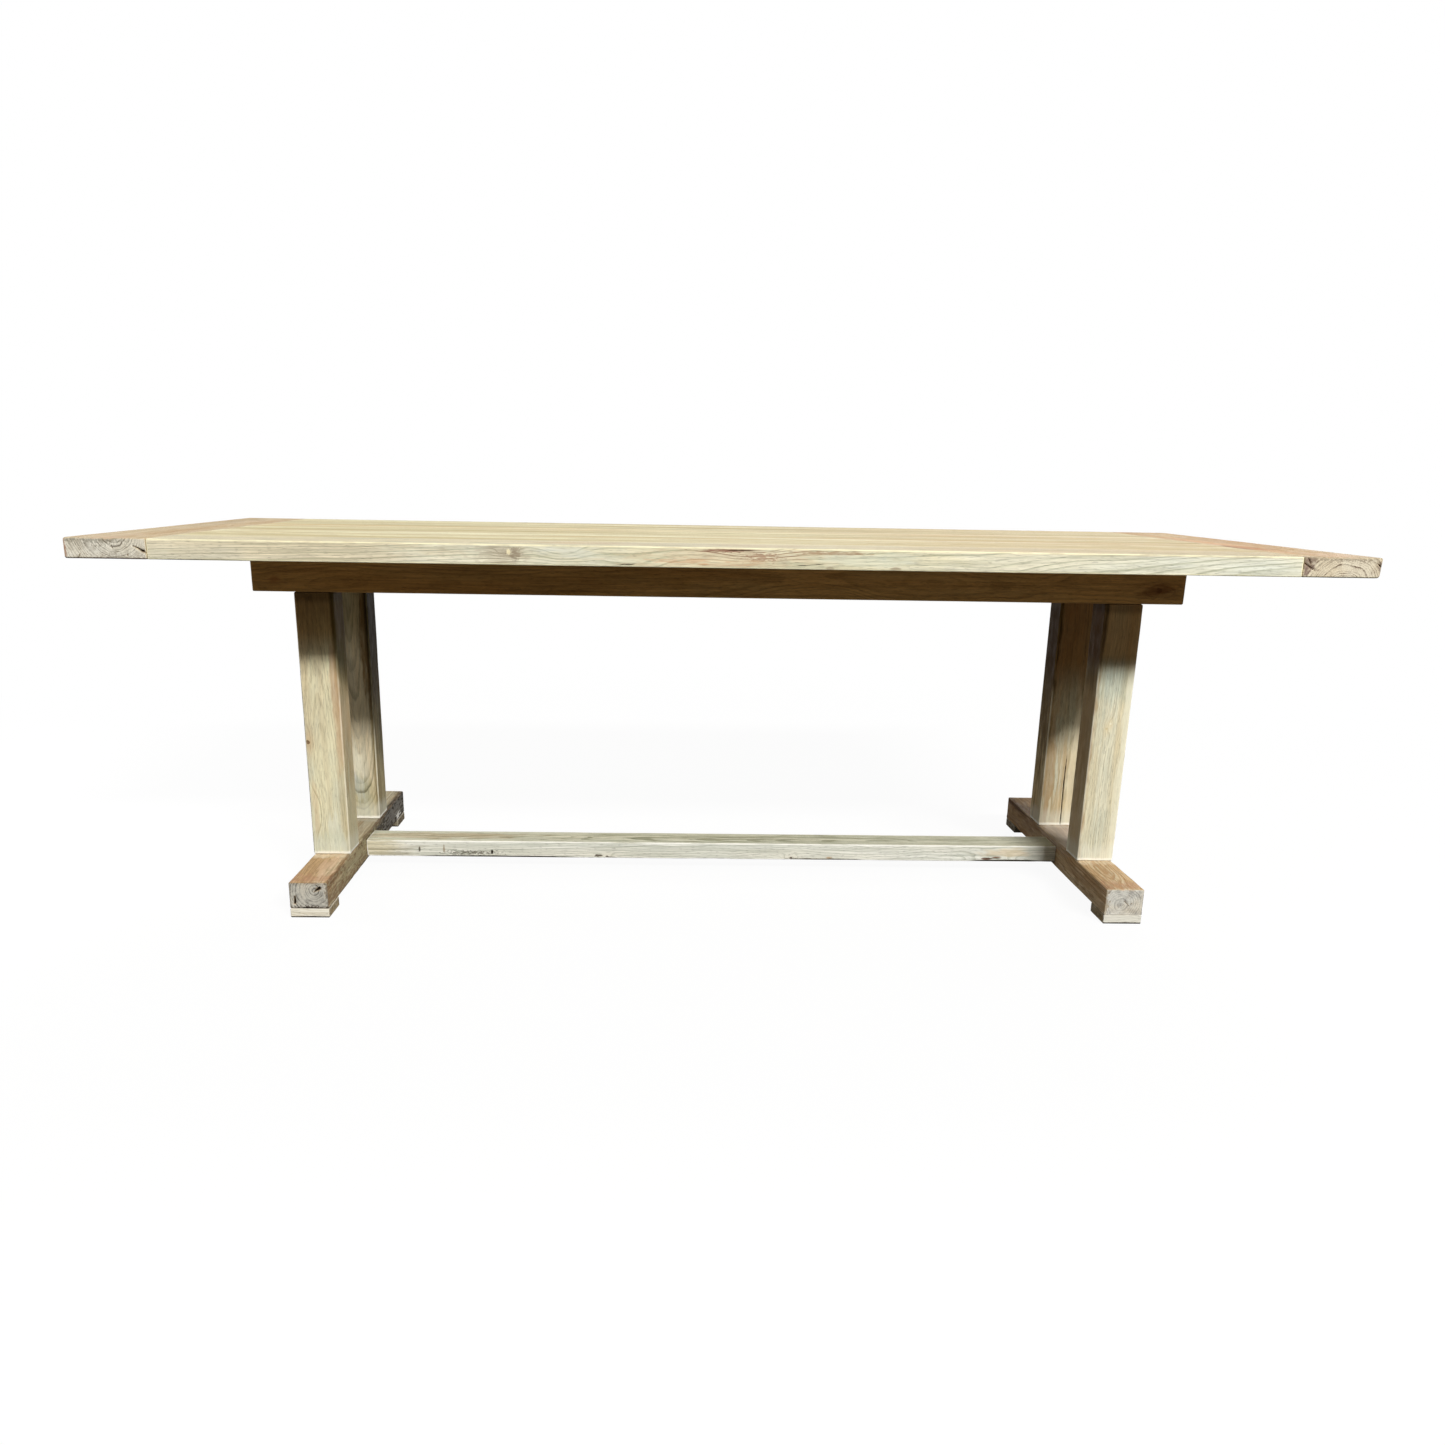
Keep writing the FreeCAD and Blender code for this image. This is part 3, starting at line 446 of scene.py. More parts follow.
blockValues = {
    "arrisSteps": np.array((0, 0.0005, 0.0011, 0.0019, 0.0029, 0.0043, 0.0062)),
    "checkSteps": np.array((-2.2, -1.1, -0.5, 0, 0.5, 1.1, 2.2)),
    "knotSteps": np.linspace(-1.3, 1.3, 9),
    "inset": 0.00006,  # the skin stays this far inside the solid
    "leastGap": 0.0003,
    "checkSpan": 0.012,  # how far beside a check the grid bends with it
    "leastTenon": 0.002,
    "tenonInset": 0.0065,
    "tenonRoom": 0.001,
    "tenonRoot": 0.012,
}

timberDefaults = {
    "checks": [], "knots": [], "endChecks": [], "stainsAndShade": [], "sweeps": [], "soft": {}, "look": {},
    "radius": 0.003, "chips": 0.004, "waves": 0.00025, "raised": 0.00012, "lengthStep": 0.0085,
    "crossStep": 0.0075,
}

asDrawn = (None, None, None)
noiseTable = np.random.default_rng(11).uniform(-1, 1, (32, 32, 32))


def timberOf(name, along, values, look, low=asDrawn, high=asDrawn):
    # low and high: the corners of a block that tongues or tenons stand out of
    ends = []
    for mine, drawn in zip((low, high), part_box(name)):
        ends.append(np.array([other if own is None else own for own, other in zip(mine, drawn)], float))
    low, high = ends
    timber = {**timberDefaults, **values, "name": name, "along": along, "low": low, "high": high,
              "middle": (low + high) / 2, "half": (high - low) / 2}
    timber["look"] = {**look, **timber["look"]}
    return timber


def lumps(points, size, seed):
    # smooth noise from -1 to 1 with lumps about this size along each axis
    spot = points / np.asarray(size) + np.array([7.31, 3.17, 5.53]) * seed
    cell = np.floor(spot).astype(int)
    share = spot - cell
    share = share * share * (3 - 2 * share)
    value = np.zeros(len(points))
    for corner in np.ndindex(2, 2, 2):
        i, j, k = ((cell + corner) % len(noiseTable)).T
        value += np.prod(np.where(corner, share, 1 - share), axis=1) * noiseTable[i, j, k]
    return value


def alongSize(timber, long, cross):
    size = np.full(3, cross)
    size[timber["along"]] = long
    return size


def gridLines(low, high, step, close):
    steps = blockValues["arrisSteps"]
    kept = [low, high, *close]
    count = max(2, round((high - low) / step))
    for line in (*(low + steps), *(high - steps), *np.linspace(low, high, count)):
        if min(abs(line - other) for other in kept) > blockValues["leastGap"]:
            kept.append(line)
    return np.sort(kept)


def gridShell(lines):
    # the outer faces of a box of grid lines, as shared points and quads
    sizes = [len(line) for line in lines]
    outer = np.zeros(sizes, bool)
    for axis in range(3):
        np.moveaxis(outer, axis, 0)[[0, -1]] = True
    index = np.full(sizes, -1)
    index[outer] = np.arange(outer.sum())
    points = np.stack([line[place] for line, place in zip(lines, np.nonzero(outer))], axis=1)
    quads = []
    for axis in range(3):
        for last in (False, True):
            grid = np.moveaxis(index, axis, 0)[-1 if last else 0]
            corners = [grid[:-1, :-1], grid[1:, :-1], grid[1:, 1:], grid[:-1, 1:]]
            quad = np.stack(corners, axis=-1).reshape(-1, 4)
            quads.append(quad if last == (axis != 1) else quad[:, ::-1])
    return points, np.concatenate(quads)


def onFace(timber, face, along, across):
    # a spot on a face, and the face's cross axis
    axis, sign = faceOf[face]
    cross = 3 - axis - timber["along"]
    share = np.zeros(3)
    share[[axis, timber["along"], cross]] = sign, along, across
    return timber["middle"] + share * timber["half"], cross


def facing(normals, face, least=0.9):
    axis, sign = faceOf[face]
    return normals[:, axis] * sign > least


def checkPath(timber, check, points):
    # how far points are from a check's line, how open it is there, its cross axis and its middle
    start, cross = onFace(timber, check["face"], check["start"], check["across"])
    finish = onFace(timber, check["face"], check["finish"], check["across"])[0]
    along = timber["along"]
    share = (points[:, along] - start[along]) / (finish[along] - start[along])
    row = points * 0
    row[:, along] = points[:, along]
    wander = lumps(row, 0.09, 3 + check["across"]) + 0.4 * lumps(row, 0.025, 8)
    taper = np.clip(np.minimum(share, 1 - share) * 5, 0, 1) ** 0.7
    opened = taper * (0.75 + 0.25 * lumps(row, 0.012, 5))
    return points[:, cross] - (start[cross] + check["drift"] * wander), opened, cross, start[cross]


def followChecks(timber, points, normals):
    # bends the grid so that its close lines run along each check
    moved = points.copy()
    for check in timber["checks"]:
        away, _, cross, straight = checkPath(timber, check, points)
        beside = points[:, cross] - straight
        window = np.clip(1 - np.abs(beside) / blockValues["checkSpan"], 0, 1)
        window = window * window * (3 - 2 * window)
        moved[:, cross] += np.where(facing(normals, check["face"]), (beside - away) * window, 0)
    return moved


def checkDepth(timber, points, normals):
    # how deep and how dark the checks, knots and end checks are
    depth, dark = np.zeros((2, len(points)))
    for check in timber["checks"]:
        away, opened = checkPath(timber, check, points)[:2]
        gap = np.abs(away) / (check["width"] * np.maximum(opened, 0.05))
        hit = np.clip(1.25 - gap, 0, 1) * (opened > 0) * facing(normals, check["face"])
        depth = np.maximum(depth, hit * opened * check["depth"])
        dark = np.maximum(dark, hit * np.clip(opened * 1.6, 0, 1))
    for branch in timber["knots"]:
        if branch["buried"]:
            continue
        spot = onFace(timber, branch["face"], branch["along"], branch["across"])[0]
        squash = np.where(np.arange(3) == faceOf[branch["face"]][0], 0.4, 1)
        away = np.linalg.norm((points - spot) * squash, axis=1)
        away *= 1 + 0.25 * lumps(points, 0.006, 4)
        cup = np.clip(1 - away / branch["size"], 0, 1) ** 0.6 * facing(normals, branch["face"], 0.5)
        depth = np.maximum(depth, cup * branch["depth"])
        dark = np.maximum(dark, cup * branch["dark"])
    along = timber["along"]
    others = [axis for axis in range(3) if axis != along]
    for crack in timber["endChecks"]:
        start = timber["middle"][others] + timber["half"][others] * crack["start"]
        run = timber["middle"][others] + timber["half"][others] * crack["finish"] - start
        share = np.clip((points[:, others] - start) @ run / (run @ run), 0, 1)
        wobble = 0.0011 * lumps(points, 0.008, 6 + crack["width"] * 1000)
        away = np.linalg.norm(points[:, others] - start - share[:, None] * run, axis=1) + np.abs(wobble)
        opened = np.clip(1.3 - share * 0.9, 0, 1)
        hit = np.clip(1.3 - away / (crack["width"] * opened), 0, 1) * (normals[:, along] < -0.9)
        depth = np.maximum(depth, hit * crack["depth"] * opened)
        dark = np.maximum(dark, hit)
    return depth, dark


def arrisRadius(timber, points):
    base, seed = timber["radius"], timber["seed"]
    radius = base * (1 + 0.35 * lumps(points, alongSize(timber, 0.16, 0.05), seed)
                     + 0.25 * lumps(points, alongSize(timber, 0.035, 0.02), seed + 1))
    for face, wide in timber["soft"].items():
        axis, sign = faceOf[face]
        edge = timber["high" if sign > 0 else "low"][axis]
        close = np.clip(1.5 - np.abs(points[:, axis] - edge) / 0.008, 0, 1)
        radius *= 1 + (wide / base - 1) * close
    chips = np.clip(lumps(points, alongSize(timber, 0.05, 0.02), seed + 2) - 0.5, 0, 1)
    return radius + timber["chips"] * chips


def rounded(timber, points, radius):
    inner = np.clip(points, timber["low"] + radius, timber["high"] - radius)
    reach = points - inner
    return inner, reach / np.linalg.norm(reach, axis=1)[:, None]


def wornBlock(timber):
    along, seed = timber["along"], timber["seed"]
    close = [[], [], []]
    for check in timber["checks"]:
        spot, cross = onFace(timber, check["face"], 0, check["across"])
        close[cross] += list(spot[cross] + blockValues["checkSteps"] * check["width"])
    for branch in timber["knots"]:
        if branch["buried"]:
            continue
        spot, cross = onFace(timber, branch["face"], branch["along"], branch["across"])
        for axis in (along, cross):
            close[axis] += list(spot[axis] + blockValues["knotSteps"] * branch["size"])
    lines = []
    for axis, (low, high) in enumerate(zip(timber["low"], timber["high"])):
        step = timber["lengthStep" if axis == along else "crossStep"]
        inside = [line for line in close[axis] if low + 0.001 < line < high - 0.001]
        lines.append(gridLines(low, high, step, inside))
    points, quads = gridShell(lines)

    # round every arris over, more where it is worn
    radius = arrisRadius(timber, points)[:, None]
    points = followChecks(timber, points, rounded(timber, points, radius)[1])
    inner, normals = rounded(timber, points, radius)

    # sink the skin: hand-planed waves, raised grain, checks, knots
    waves = 0.5 + 0.5 * lumps(points, alongSize(timber, 0.22, 0.05), seed + 3)
    grain = 0.5 + 0.5 * lumps(points, alongSize(timber, 0.09, 0.006), seed + 4)
    depth = checkDepth(timber, points, normals)[0]
    sink = blockValues["inset"] + timber["waves"] * waves + timber["raised"] * grain + depth
    points = inner + normals * (radius - sink[:, None])
    mesh = bpy.data.meshes.new(timber["name"])
    mesh.from_pydata(points.tolist(), [], quads.tolist())
    mesh.update()
    return mesh


def evaluated(thing):
    # the mesh of an object with its modifiers applied; the object is used up
    mesh = bpy.data.meshes.new_from_object(thing.evaluated_get(bpy.context.evaluated_depsgraph_get()))
    bpy.data.meshes.remove(thing.data)
    return mesh


def combine(base, other, operation):
    # a boolean of two meshes; both are used up
    one, two = addObject("one", base), addObject("two", other)
    change = one.modifiers.new("boolean", "BOOLEAN")
    change.operation = operation
    change.solver = "MANIFOLD"
    change.object = two
    result = evaluated(one)
    bpy.data.meshes.remove(other)
    return result


def welded(name):
    # the CAD solid with its loose triangles joined
    solid = bmesh.new()
    solid.from_mesh(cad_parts[name].data)
    bmesh.ops.remove_doubles(solid, verts=solid.verts, dist=1e-6)
    return solid


def asMesh(name, solid):
    mesh = bpy.data.meshes.new(name)
    solid.to_mesh(mesh)
    solid.free()
    return mesh


def boxMesh(low, high):
    solid = bmesh.new()
    bmesh.ops.create_cube(solid, size=1)
    mesh = asMesh("keep", solid)
    low, high = Vector(low), Vector(high)
    mesh.transform(Matrix.Translation((low + high) / 2) @ Matrix.Diagonal((*(high - low), 1)))
    return mesh


def withTenons(timber, block):
    # adds the room that tongues and tenons take outside the block
    drawn = dict(zip(("low", "high"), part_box(timber["name"])))
    inset = blockValues["tenonInset"]
    for axis in range(3):
        for end, other, sign in (("low", "high", -1), ("high", "low", 1)):
            if (drawn[end][axis] - timber[end][axis]) * sign < blockValues["leastTenon"]:
                continue
            ends = {"low": timber["low"] + inset, "high": timber["high"] - inset}
            ends[end][axis] = drawn[end][axis] + sign * blockValues["tenonRoom"]
            ends[other][axis] = timber[end][axis] - sign * blockValues["tenonRoot"]
            block = combine(block, boxMesh(ends["low"], ends["high"]), "UNION")
    return block


def paintWear(timber, mesh):
    # per-point values that the materials read: closeness to an arris, darkness of a check, end grain
    points = np.zeros(len(mesh.vertices) * 3)
    mesh.vertices.foreach_get("co", points)
    points = points.reshape(-1, 3)
    fromLow, fromHigh = points - timber["low"], timber["high"] - points
    nearest = np.minimum(fromLow, fromHigh)
    edge = np.sort(nearest, axis=1)[:, 1]
    radius = arrisRadius(timber, points)
    arris = np.clip(1 - (edge - 0.0008) / 0.0038, 0, 1) * np.clip(radius / 0.0026, 0, 1)
    seam = np.clip(1 - edge / 0.0016, 0, 1) * np.clip(1.6 - radius / 0.0012, 0, 1)
    normals = np.zeros_like(points)
    which = np.argmin(nearest, axis=1)
    rows = np.arange(len(points))
    normals[rows, which] = np.where(fromLow[rows, which] < fromHigh[rows, which], -1, 1)
    dark = np.maximum(checkDepth(timber, points, normals)[1], 0.6 * seam)
    endGrain = nearest[:, timber["along"]] < 0.0012
    for label, values in (("arris", arris), ("check", dark), ("endGrain", endGrain)):
        layer = mesh.attributes.new(label, "FLOAT", "POINT")
        layer.data.foreach_set("value", values.astype(np.float32))


def inGrain(timber, spot):
    return towardsX[timber["along"]] @ Vector(spot - timber["middle"])


def stainedAndShaded(timber, place, grain, tone, over):
    # the stains and painted shade under the worn arrises, or the ones over them; some only colour the grain
    # lines
    for patch in timber["stainsAndShade"]:
        if patch["over"] != over:
            continue
        spot, cross = onFace(timber, patch["face"], patch["along"], patch["across"])
        long, wide, deep = patch["size"]
        size = Vector((deep, deep, deep))
        size[timber["along"]], size[cross] = long / 2, wide / 2
        size = [abs(value) for value in towardsX[timber["along"]] @ size]
        mask = useGroup(tone.tree, timberStainOrShade, {
            **patch, "place": place, "spot": inGrain(timber, spot), "size": size})["mask"]
        if "grain" in patch:
            mask = mask * ramp(grain, patch["grain"], patch["grain"] + 0.35)
        tone = blend(mask, tone, patch["tint"], patch["way"])
    return tone


def timberMaterial(timber):
    look = timber["look"]
    material, tree = newMaterial(timber["name"] + "Wood")
    turn = towardsX[timber["along"]]
    place = first(tree, "ShaderNodeMapping", {
        "Vector": first(tree, "ShaderNodeTexCoord", output="Object"),
        "Location": -(turn @ Vector(timber["middle"])), "Rotation": turn.to_euler()})
    painted = {}
    for label in ("endGrain", "arris", "check"):
        painted[label] = first(tree, "ShaderNodeAttribute", output="Fac", attribute_name=label)
    bend, halos, hearts = 0.0, [], []
    for branch in timber["knots"]:
        spot = onFace(timber, branch["face"], branch["along"], branch["across"])[0]
        parts = useGroup(tree, timberKnot, {**branch, "place": place, "knot": inGrain(timber, spot)})
        bend = parts["bend"] + bend
        if not branch["buried"]:
            halos.append((parts["halo"] * branch["haloAmount"], branch.get("halo", look["warm"])))
            hearts.append((parts["heart"], branch.get("colour", look["knot"])))
    for start, slope in timber["sweeps"]:
        past = part(place, "X") - start * timber["half"][timber["along"]]
        bend = sums("SMOOTH_MAX", past, 0, 0.06) * slope + bend
    figure = useGroup(tree, timberFigure, {
        **look, "place": place, "bend": bend, "seed": timber["seed"], "pith": (0, *look["pith"]),
        "lean": (0, *look["lean"])})
    tones = useGroup(tree, timberTones, {**look, **figure, "end": painted["endGrain"]})
    tone = tones["colour"]
    for mask, tint in halos + hearts:
        tone = blend(mask, tone, tint)
    grain = sums("MAXIMUM", figure["ringMask"], figure["lineMask"] * 0.7)
    tone = stainedAndShaded(timber, place, grain, tone, False)
    worn = useGroup(tree, timberWear, {**look, **painted, "place": place, "tone": tone})
    tone = stainedAndShaded(timber, place, grain, worn["colour"], True)
    values = {"Base Color": blend(worn["open"], tone, look["dirt"]), "Roughness": worn["rough"],
              "Specular IOR Level": look["gloss"]}
    coat(tree, values, tones["height"], 0.6, 0.0008)
    return material


def finishPiece(name, ending, mesh, sharp):
    mesh.name = name + "Skin"
    mesh.shade_smooth()
    mesh.set_sharp_from_angle(angle=math.radians(sharp))
    piece = addObject(name + ending, mesh)
    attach(piece, "root")
    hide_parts(name)


def makeTimber(name, along, values, look, low=asDrawn, high=asDrawn):
    timber = timberOf(name, along, values, look, low, high)
    block = withTenons(timber, wornBlock(timber))
    mesh = combine(asMesh(name + "Solid", welded(name)), block, "INTERSECT")
    mesh.materials.clear()
    mesh.materials.append(timberMaterial(timber))
    paintWear(timber, mesh)
    finishPiece(name, "_timber", mesh, 38)


# ---- places that the pieces share, from the frame

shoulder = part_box("breadboard_right")[0].x
topUnder, topHigh = (corner.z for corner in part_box("top_board_1"))
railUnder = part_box("apron_rail_front")[0].z
railInside = -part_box("apron_rail_front")[1].y
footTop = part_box("foot_beam_left")[1].z
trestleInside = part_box("foot_beam_right")[0].x


# ---- the top

woodLook = {"lean": (0, 0), "curl": 0.5, "early": 0.35, "cutRings": 0.8, "cutMottle": 0.6, "gloss": 0.06}

boardLook = {
    **woodLook, "pale": (248, 244, 211), "late": (192, 174, 130), "warm": (215, 195, 148),
    "grey": (228, 224, 190), "worn": (250, 244, 208), "dirt": (58, 44, 28), "cut": (208, 200, 178),
    "cutLate": (150, 138, 112), "knot": (122, 86, 58), "rings": 0.8, "lines": 0.65, "warmth": 1,
    "greyness": 0.5, "wear": 0.8, "pith": (0.02, -0.05), "ringWidth": 0.0055, "wander": 0.012,
    "gloss": 0.2,
}

boardValues = [
    {
        "seed": 1, "soft": {"front": 0.0024},
        "sweeps": [
            (-0.62, -0.03), (-0.3, 0.03), (0.2, -0.045), (0.4, 0.055), (0.57, 0.015), (0.68, -0.07),
        ],
        "look": {
            "pith": (-0.03, -0.045), "lean": (0, 0.022), "grey": (220, 225, 214), "pale": (247, 245, 225),
            "late": (170, 172, 146), "warm": (236, 224, 190), "greyness": 0.6, "warmth": 0.4, "rings": 0.8,
            "lines": 0.4, "wander": 0.01, "ringWidth": 0.0046, "curl": 0.15, "early": 0.55, "wear": 1.3,
        },
        "knots": [
            knot("front", -0.385, 0.2, 0.0034, 0.014, dark=0.15, colour=(244, 230, 184),
                 halo=(176, 160, 138), haloAmount=0.3),
            buriedKnot("front", -0.29, 0.1, 0.008, 0.012),
            buriedKnot("front", 0.03, 1.2, 0.01, 0.016),
            buriedKnot("front", -0.17, -1.2, 0.012, 0.014),
            buriedKnot("front", 0.45, -1.6, 0.02, 0.012),
        ],
        "checks": [
            openCheck("front", -0.75, -0.196, -0.165, 0.0012, 0.002, 0.003),
            openCheck("front", 0.75, -0.01, 0.04, 0.001, 0.0015, 0.002),
            openCheck("front", -0.7, 0.11, 0.16, 0.0009, 0.0015, 0.006),
        ],
        "stainsAndShade": [
            stainOrShade("front", 0, 0.1, (0.4, 0.05), (226, 204, 176), 0.35, 1.8, torn=(20, 120)),
            stainOrShade("front", 0, 0.5, (0.16, 0.03), (142, 98, 80), 0.65, 1.4, grain=0.2),
            stainOrShade("front", -0.01, 0.72, (0.08, 0.006), (134, 90, 76), 0.6, 2.8, torn=(90, 420)),
            stainOrShade("front", 0.05, 0.1, (0.06, 0.014), (156, 112, 90), 0.6, 3, torn=(90, 360)),
            stainOrShade("front", 0.1, 0.3, (0.1, 0.03), (150, 108, 84), 0.7, 1.4, grain=0.2),
            stainOrShade("front", 0.18, 0.6, (0.14, 0.008), (158, 122, 92), 0.7, 2, torn=(40, 420)),
            stainOrShade("front", -0.08, -0.35, (0.12, 0.01), (206, 160, 124), 0.5, 2.4, torn=(30, 300)),
            stainOrShade("front", 0, -0.45, (0.12, 0.02), (196, 148, 114), 0.5, 1.4, grain=0.2),
            stainOrShade("front", -0.4, 0, (0.11, 0.06, 0.02), (190, 178, 156), 0.4, 1.6, torn=(50, 120)),
            stainOrShade("front", -0.4, 0.1, (0.12, 0.05), (146, 130, 106), 0.5, 1.2, grain=0.15),
            stainOrShade("front", -0.374, 0.1, (0.024, 0.022), (122, 102, 80), 0.5, 2.6, torn=(110, 200)),
            stainOrShade("front", -0.384, 0.3, (0.01, 0.012, 0.008), (252, 240, 200), 0.9, 1.2, torn=(200, 200)),
            stainOrShade("front", -0.28, 0.2, (0.14, 0.03), (222, 226, 216), 0.45, 1.4),
            stainOrShade("front", 0.24, -0.1, (0.18, 0.03), (222, 230, 220), 0.4, 1.4),
            stainOrShade("front", 0.17, -0.85, (0.02, 0.008), (122, 94, 70), 0.7),
            stainOrShade("front", 0.285, -0.85, (0.025, 0.008), (130, 104, 80), 0.6),
            wash("top", 0, 0.1, (6, 0.3, 0.005), (240, 230, 215), 1, 0.3),
            stainOrShade("top", -0.24, 0.1, (0.34, 0.1, 0.006), (176, 138, 94), 0.6, 1.2, grain=0.15),
            stainOrShade("top", 0.04, 0, (0.26, 0.1, 0.006), (180, 144, 108), 0.5, 1.3, grain=0.15),
            wash("front", -0.8, 0, (0.7, 0.2), (248, 240, 232), 1, 0.6),
            wash("front", 0.05, 0, (0.9, 0.2), (255, 252, 242), 1, 0.6),
            # painted shade: dark lines along the lower front arris past the apron's ends
            stainOrShade("front", -0.94, -1, (0.3, 0.006, 0.002), (88, 78, 62), 0.9, 0.3, over=True),
            stainOrShade("front", 0.92, -1, (0.32, 0.005, 0.002), (96, 94, 72), 0.85, 0.3, over=True),
        ],
    },
    {"seed": 2.3, "look": {"pale": (241, 234, 195), "warm": (202, 186, 138), "warmth": 0.9}},
    {"seed": 3.1, "look": {"pith": (-0.05, -0.04), "pale": (255, 253, 222)}},
    {"seed": 4.7, "look": {"pale": (238, 232, 192), "pith": (0.1, -0.03), "warm": (190, 171, 122)}},
    {
        "seed": 5.2,
        "look": {"warmth": 0.9, "pith": (0.03, 0.07), "pale": (254, 252, 218), "warm": (212, 184, 132)},
    },
    {"seed": 6.9, "look": {"pith": (-0.02, -0.05), "pale": (238, 233, 194), "warm": (188, 170, 124)}},
    {
        "seed": 7.4, "soft": {"rear": 0.0024}, "look": {"pale": (245, 241, 208), "pith": (0.06, -0.08)},
        "stainsAndShade": [stainOrShade("top", -0.06, 1, (1.6, 0.05, 0.004), (168, 160, 132), 0.7, 2, torn=(5, 60))],
    },
]

boardShade = wash("top", 0.85, 0, (1.6, 0.5, 0.006), (244, 236, 228), 1, 0.4)


def topBoards():
    for number, values in enumerate(boardValues, start=1):
        last = number == len(boardValues)
        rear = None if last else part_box(f"top_board_{number + 1}")[0].y
        stainsAndShade = values.get("stainsAndShade", []) + [boardShade]
        makeTimber(f"top_board_{number}", 0, {"radius": 0.0012, "chips": 0.001, **values, "stainsAndShade": stainsAndShade},
                   boardLook, (-shoulder, None, topUnder), (shoulder, rear, topHigh))
    print("top boards:", len(boardValues))


breadboardLook = {
    **boardLook, "pale": (216, 193, 156), "late": (168, 132, 94), "warm": (198, 160, 116),
    "grey": (208, 192, 160), "worn": (232, 216, 178), "cut": (226, 220, 204), "cutLate": (146, 134, 114),
    "rings": 0.6, "warmth": 0.8, "greyness": 0.5, "wear": 0.4, "cutRings": 1, "cutMottle": 0.45,
    "ringWidth": 0.0052, "early": 0.4,
}

breadboardValues = {
    "left": {
        "seed": 11, "soft": {"left": 0.0024, "front": 0.0022, "rear": 0.0022},
        "look": {
            "pith": (-0.021, 0.03), "wander": 0.018, "cut": (238, 234, 221), "pale": (215, 200, 166),
            "warm": (200, 174, 134),
        },
        "endChecks": [
            endCheck((0.98, -0.35), (0.68, 0.3), 0.0022, 0.006),
            endCheck((0.52, -0.95), (0.56, -0.2), 0.0009, 0.003),
            endCheck((-0.66, -0.9), (-0.6, -0.5), 0.0012, 0.003),
            endCheck((0.2, 0), (0.16, 0.3), 0.0012, 0.003),
        ],
        "stainsAndShade": [
            stainOrShade("left", -1, 0, (0.03, 0.05, 0.007), (150, 92, 62), 0.75),
            # painted shade: a dark line along the lower arris of the end
            stainOrShade("under", -1, 0, (0.02, 0.5, 0.0036), (78, 66, 62), 0.95, 0.3, over=True),
            stainOrShade("under", -1, 0.3, (0.02, 0.1), (146, 136, 120), 0.5, 2.2, torn=(90, 260)),
            stainOrShade("top", -1, -0.2, (0.02, 0.1, 0.012), (128, 122, 106), 0.6, 2.6, torn=(90, 300)),
            stainOrShade("top", -0.86, -0.3, (0.3, 0.1, 0.004), (200, 182, 156), 0.5, 1.3),
            stainOrShade("top", -0.97, 0.1, (0.05, 0.1, 0.004), (206, 172, 146), 0.5, 1.4),
            stainOrShade("top", 0.5, -0.5, (0.9, 0.08, 0.004), (176, 158, 128), 0.6, 1.4),
        ],
    },
    "right": {
        "seed": 12, "soft": {"right": 0.0024, "front": 0.0022, "rear": 0.0022},
        "look": {
            "pith": (-0.012, -0.036), "cut": (232, 222, 199), "cutLate": (148, 122, 98), "cutRings": 1.15,
            "pale": (213, 189, 143), "warm": (191, 150, 98), "wander": 0.02, "cutMottle": 0.3,
            "ringWidth": 0.006, "rings": 0.8, "lines": 0.7,
        },
        "endChecks": [
            endCheck((-0.99, 0.4), (-0.7, -0.3), 0.002, 0.005),
            endCheck((-0.9, 0.9), (-0.78, 0), 0.0014, 0.004),
            endCheck((0.99, 0.1), (0.85, 0.5), 0.0016, 0.004),
        ],
        "stainsAndShade": [
            stainOrShade("left", -1, 0.5, (0.05, 0.05, 0.026), (118, 92, 84), 0.8, 1.3, torn=(60, 90)),
            stainOrShade("right", -1, 0.1, (0.05, 0.03, 0.012), (122, 106, 98), 0.8, 1.3, torn=(60, 90)),
            stainOrShade("top", -1, 0, (0.03, 0.3, 0.008), (138, 124, 104), 0.6, 2.2, torn=(60, 200)),
            stainOrShade("top", -0.9, 0.3, (0.2, 0.1, 0.004), (208, 180, 154), 0.5, 1.2),
            stainOrShade("top", -0.98, 0.7, (0.08, 0.06, 0.004), (188, 178, 154), 0.55, 1.2),
            stainOrShade("top", -0.42, -0.64, (0.24, 0.1), (144, 103, 60), 0.9, 1),
            stainOrShade("top", -0.1, -0.5, (0.9, 0.05), (206, 150, 104), 0.5, 1.2),
            # painted shade: a dark line along the lower arris of the end
            stainOrShade("under", -1, 0, (0.02, 0.5, 0.0032), (96, 92, 74), 0.9, 0.3, over=True),
            stainOrShade("top", -0.72, 0.85, (0.4, 0.05), (200, 182, 154), 0.55, 1.2),
        ],
    },
}


def breadboards():
    for side, values in breadboardValues.items():
        makeTimber(f"breadboard_{side}", 1, {"crossStep": 0.0016, "radius": 0.0012, **values},
                   breadboardLook)
    print("breadboards:", len(breadboardValues))


# ---- the apron frame

# the frame's brown is darker than the wood alone: partly painted shade, for the apron sitting in the top's
# shadow
frameLook = {
    **woodLook, "pale": (200, 157, 97), "late": (128, 93, 51), "warm": (176, 125, 66),
    "grey": (164, 134, 86), "worn": (160, 132, 86), "dirt": (36, 26, 14), "cut": (140, 118, 80),
    "cutLate": (84, 64, 40), "knot": (80, 52, 28), "rings": 0.6, "lines": 0.4, "warmth": 0.6,
    "greyness": 0.4, "wear": 0.3, "pith": (0.02, -0.01), "lean": (0, 0.02), "ringWidth": 0.006,
    "wander": 0.016,
}

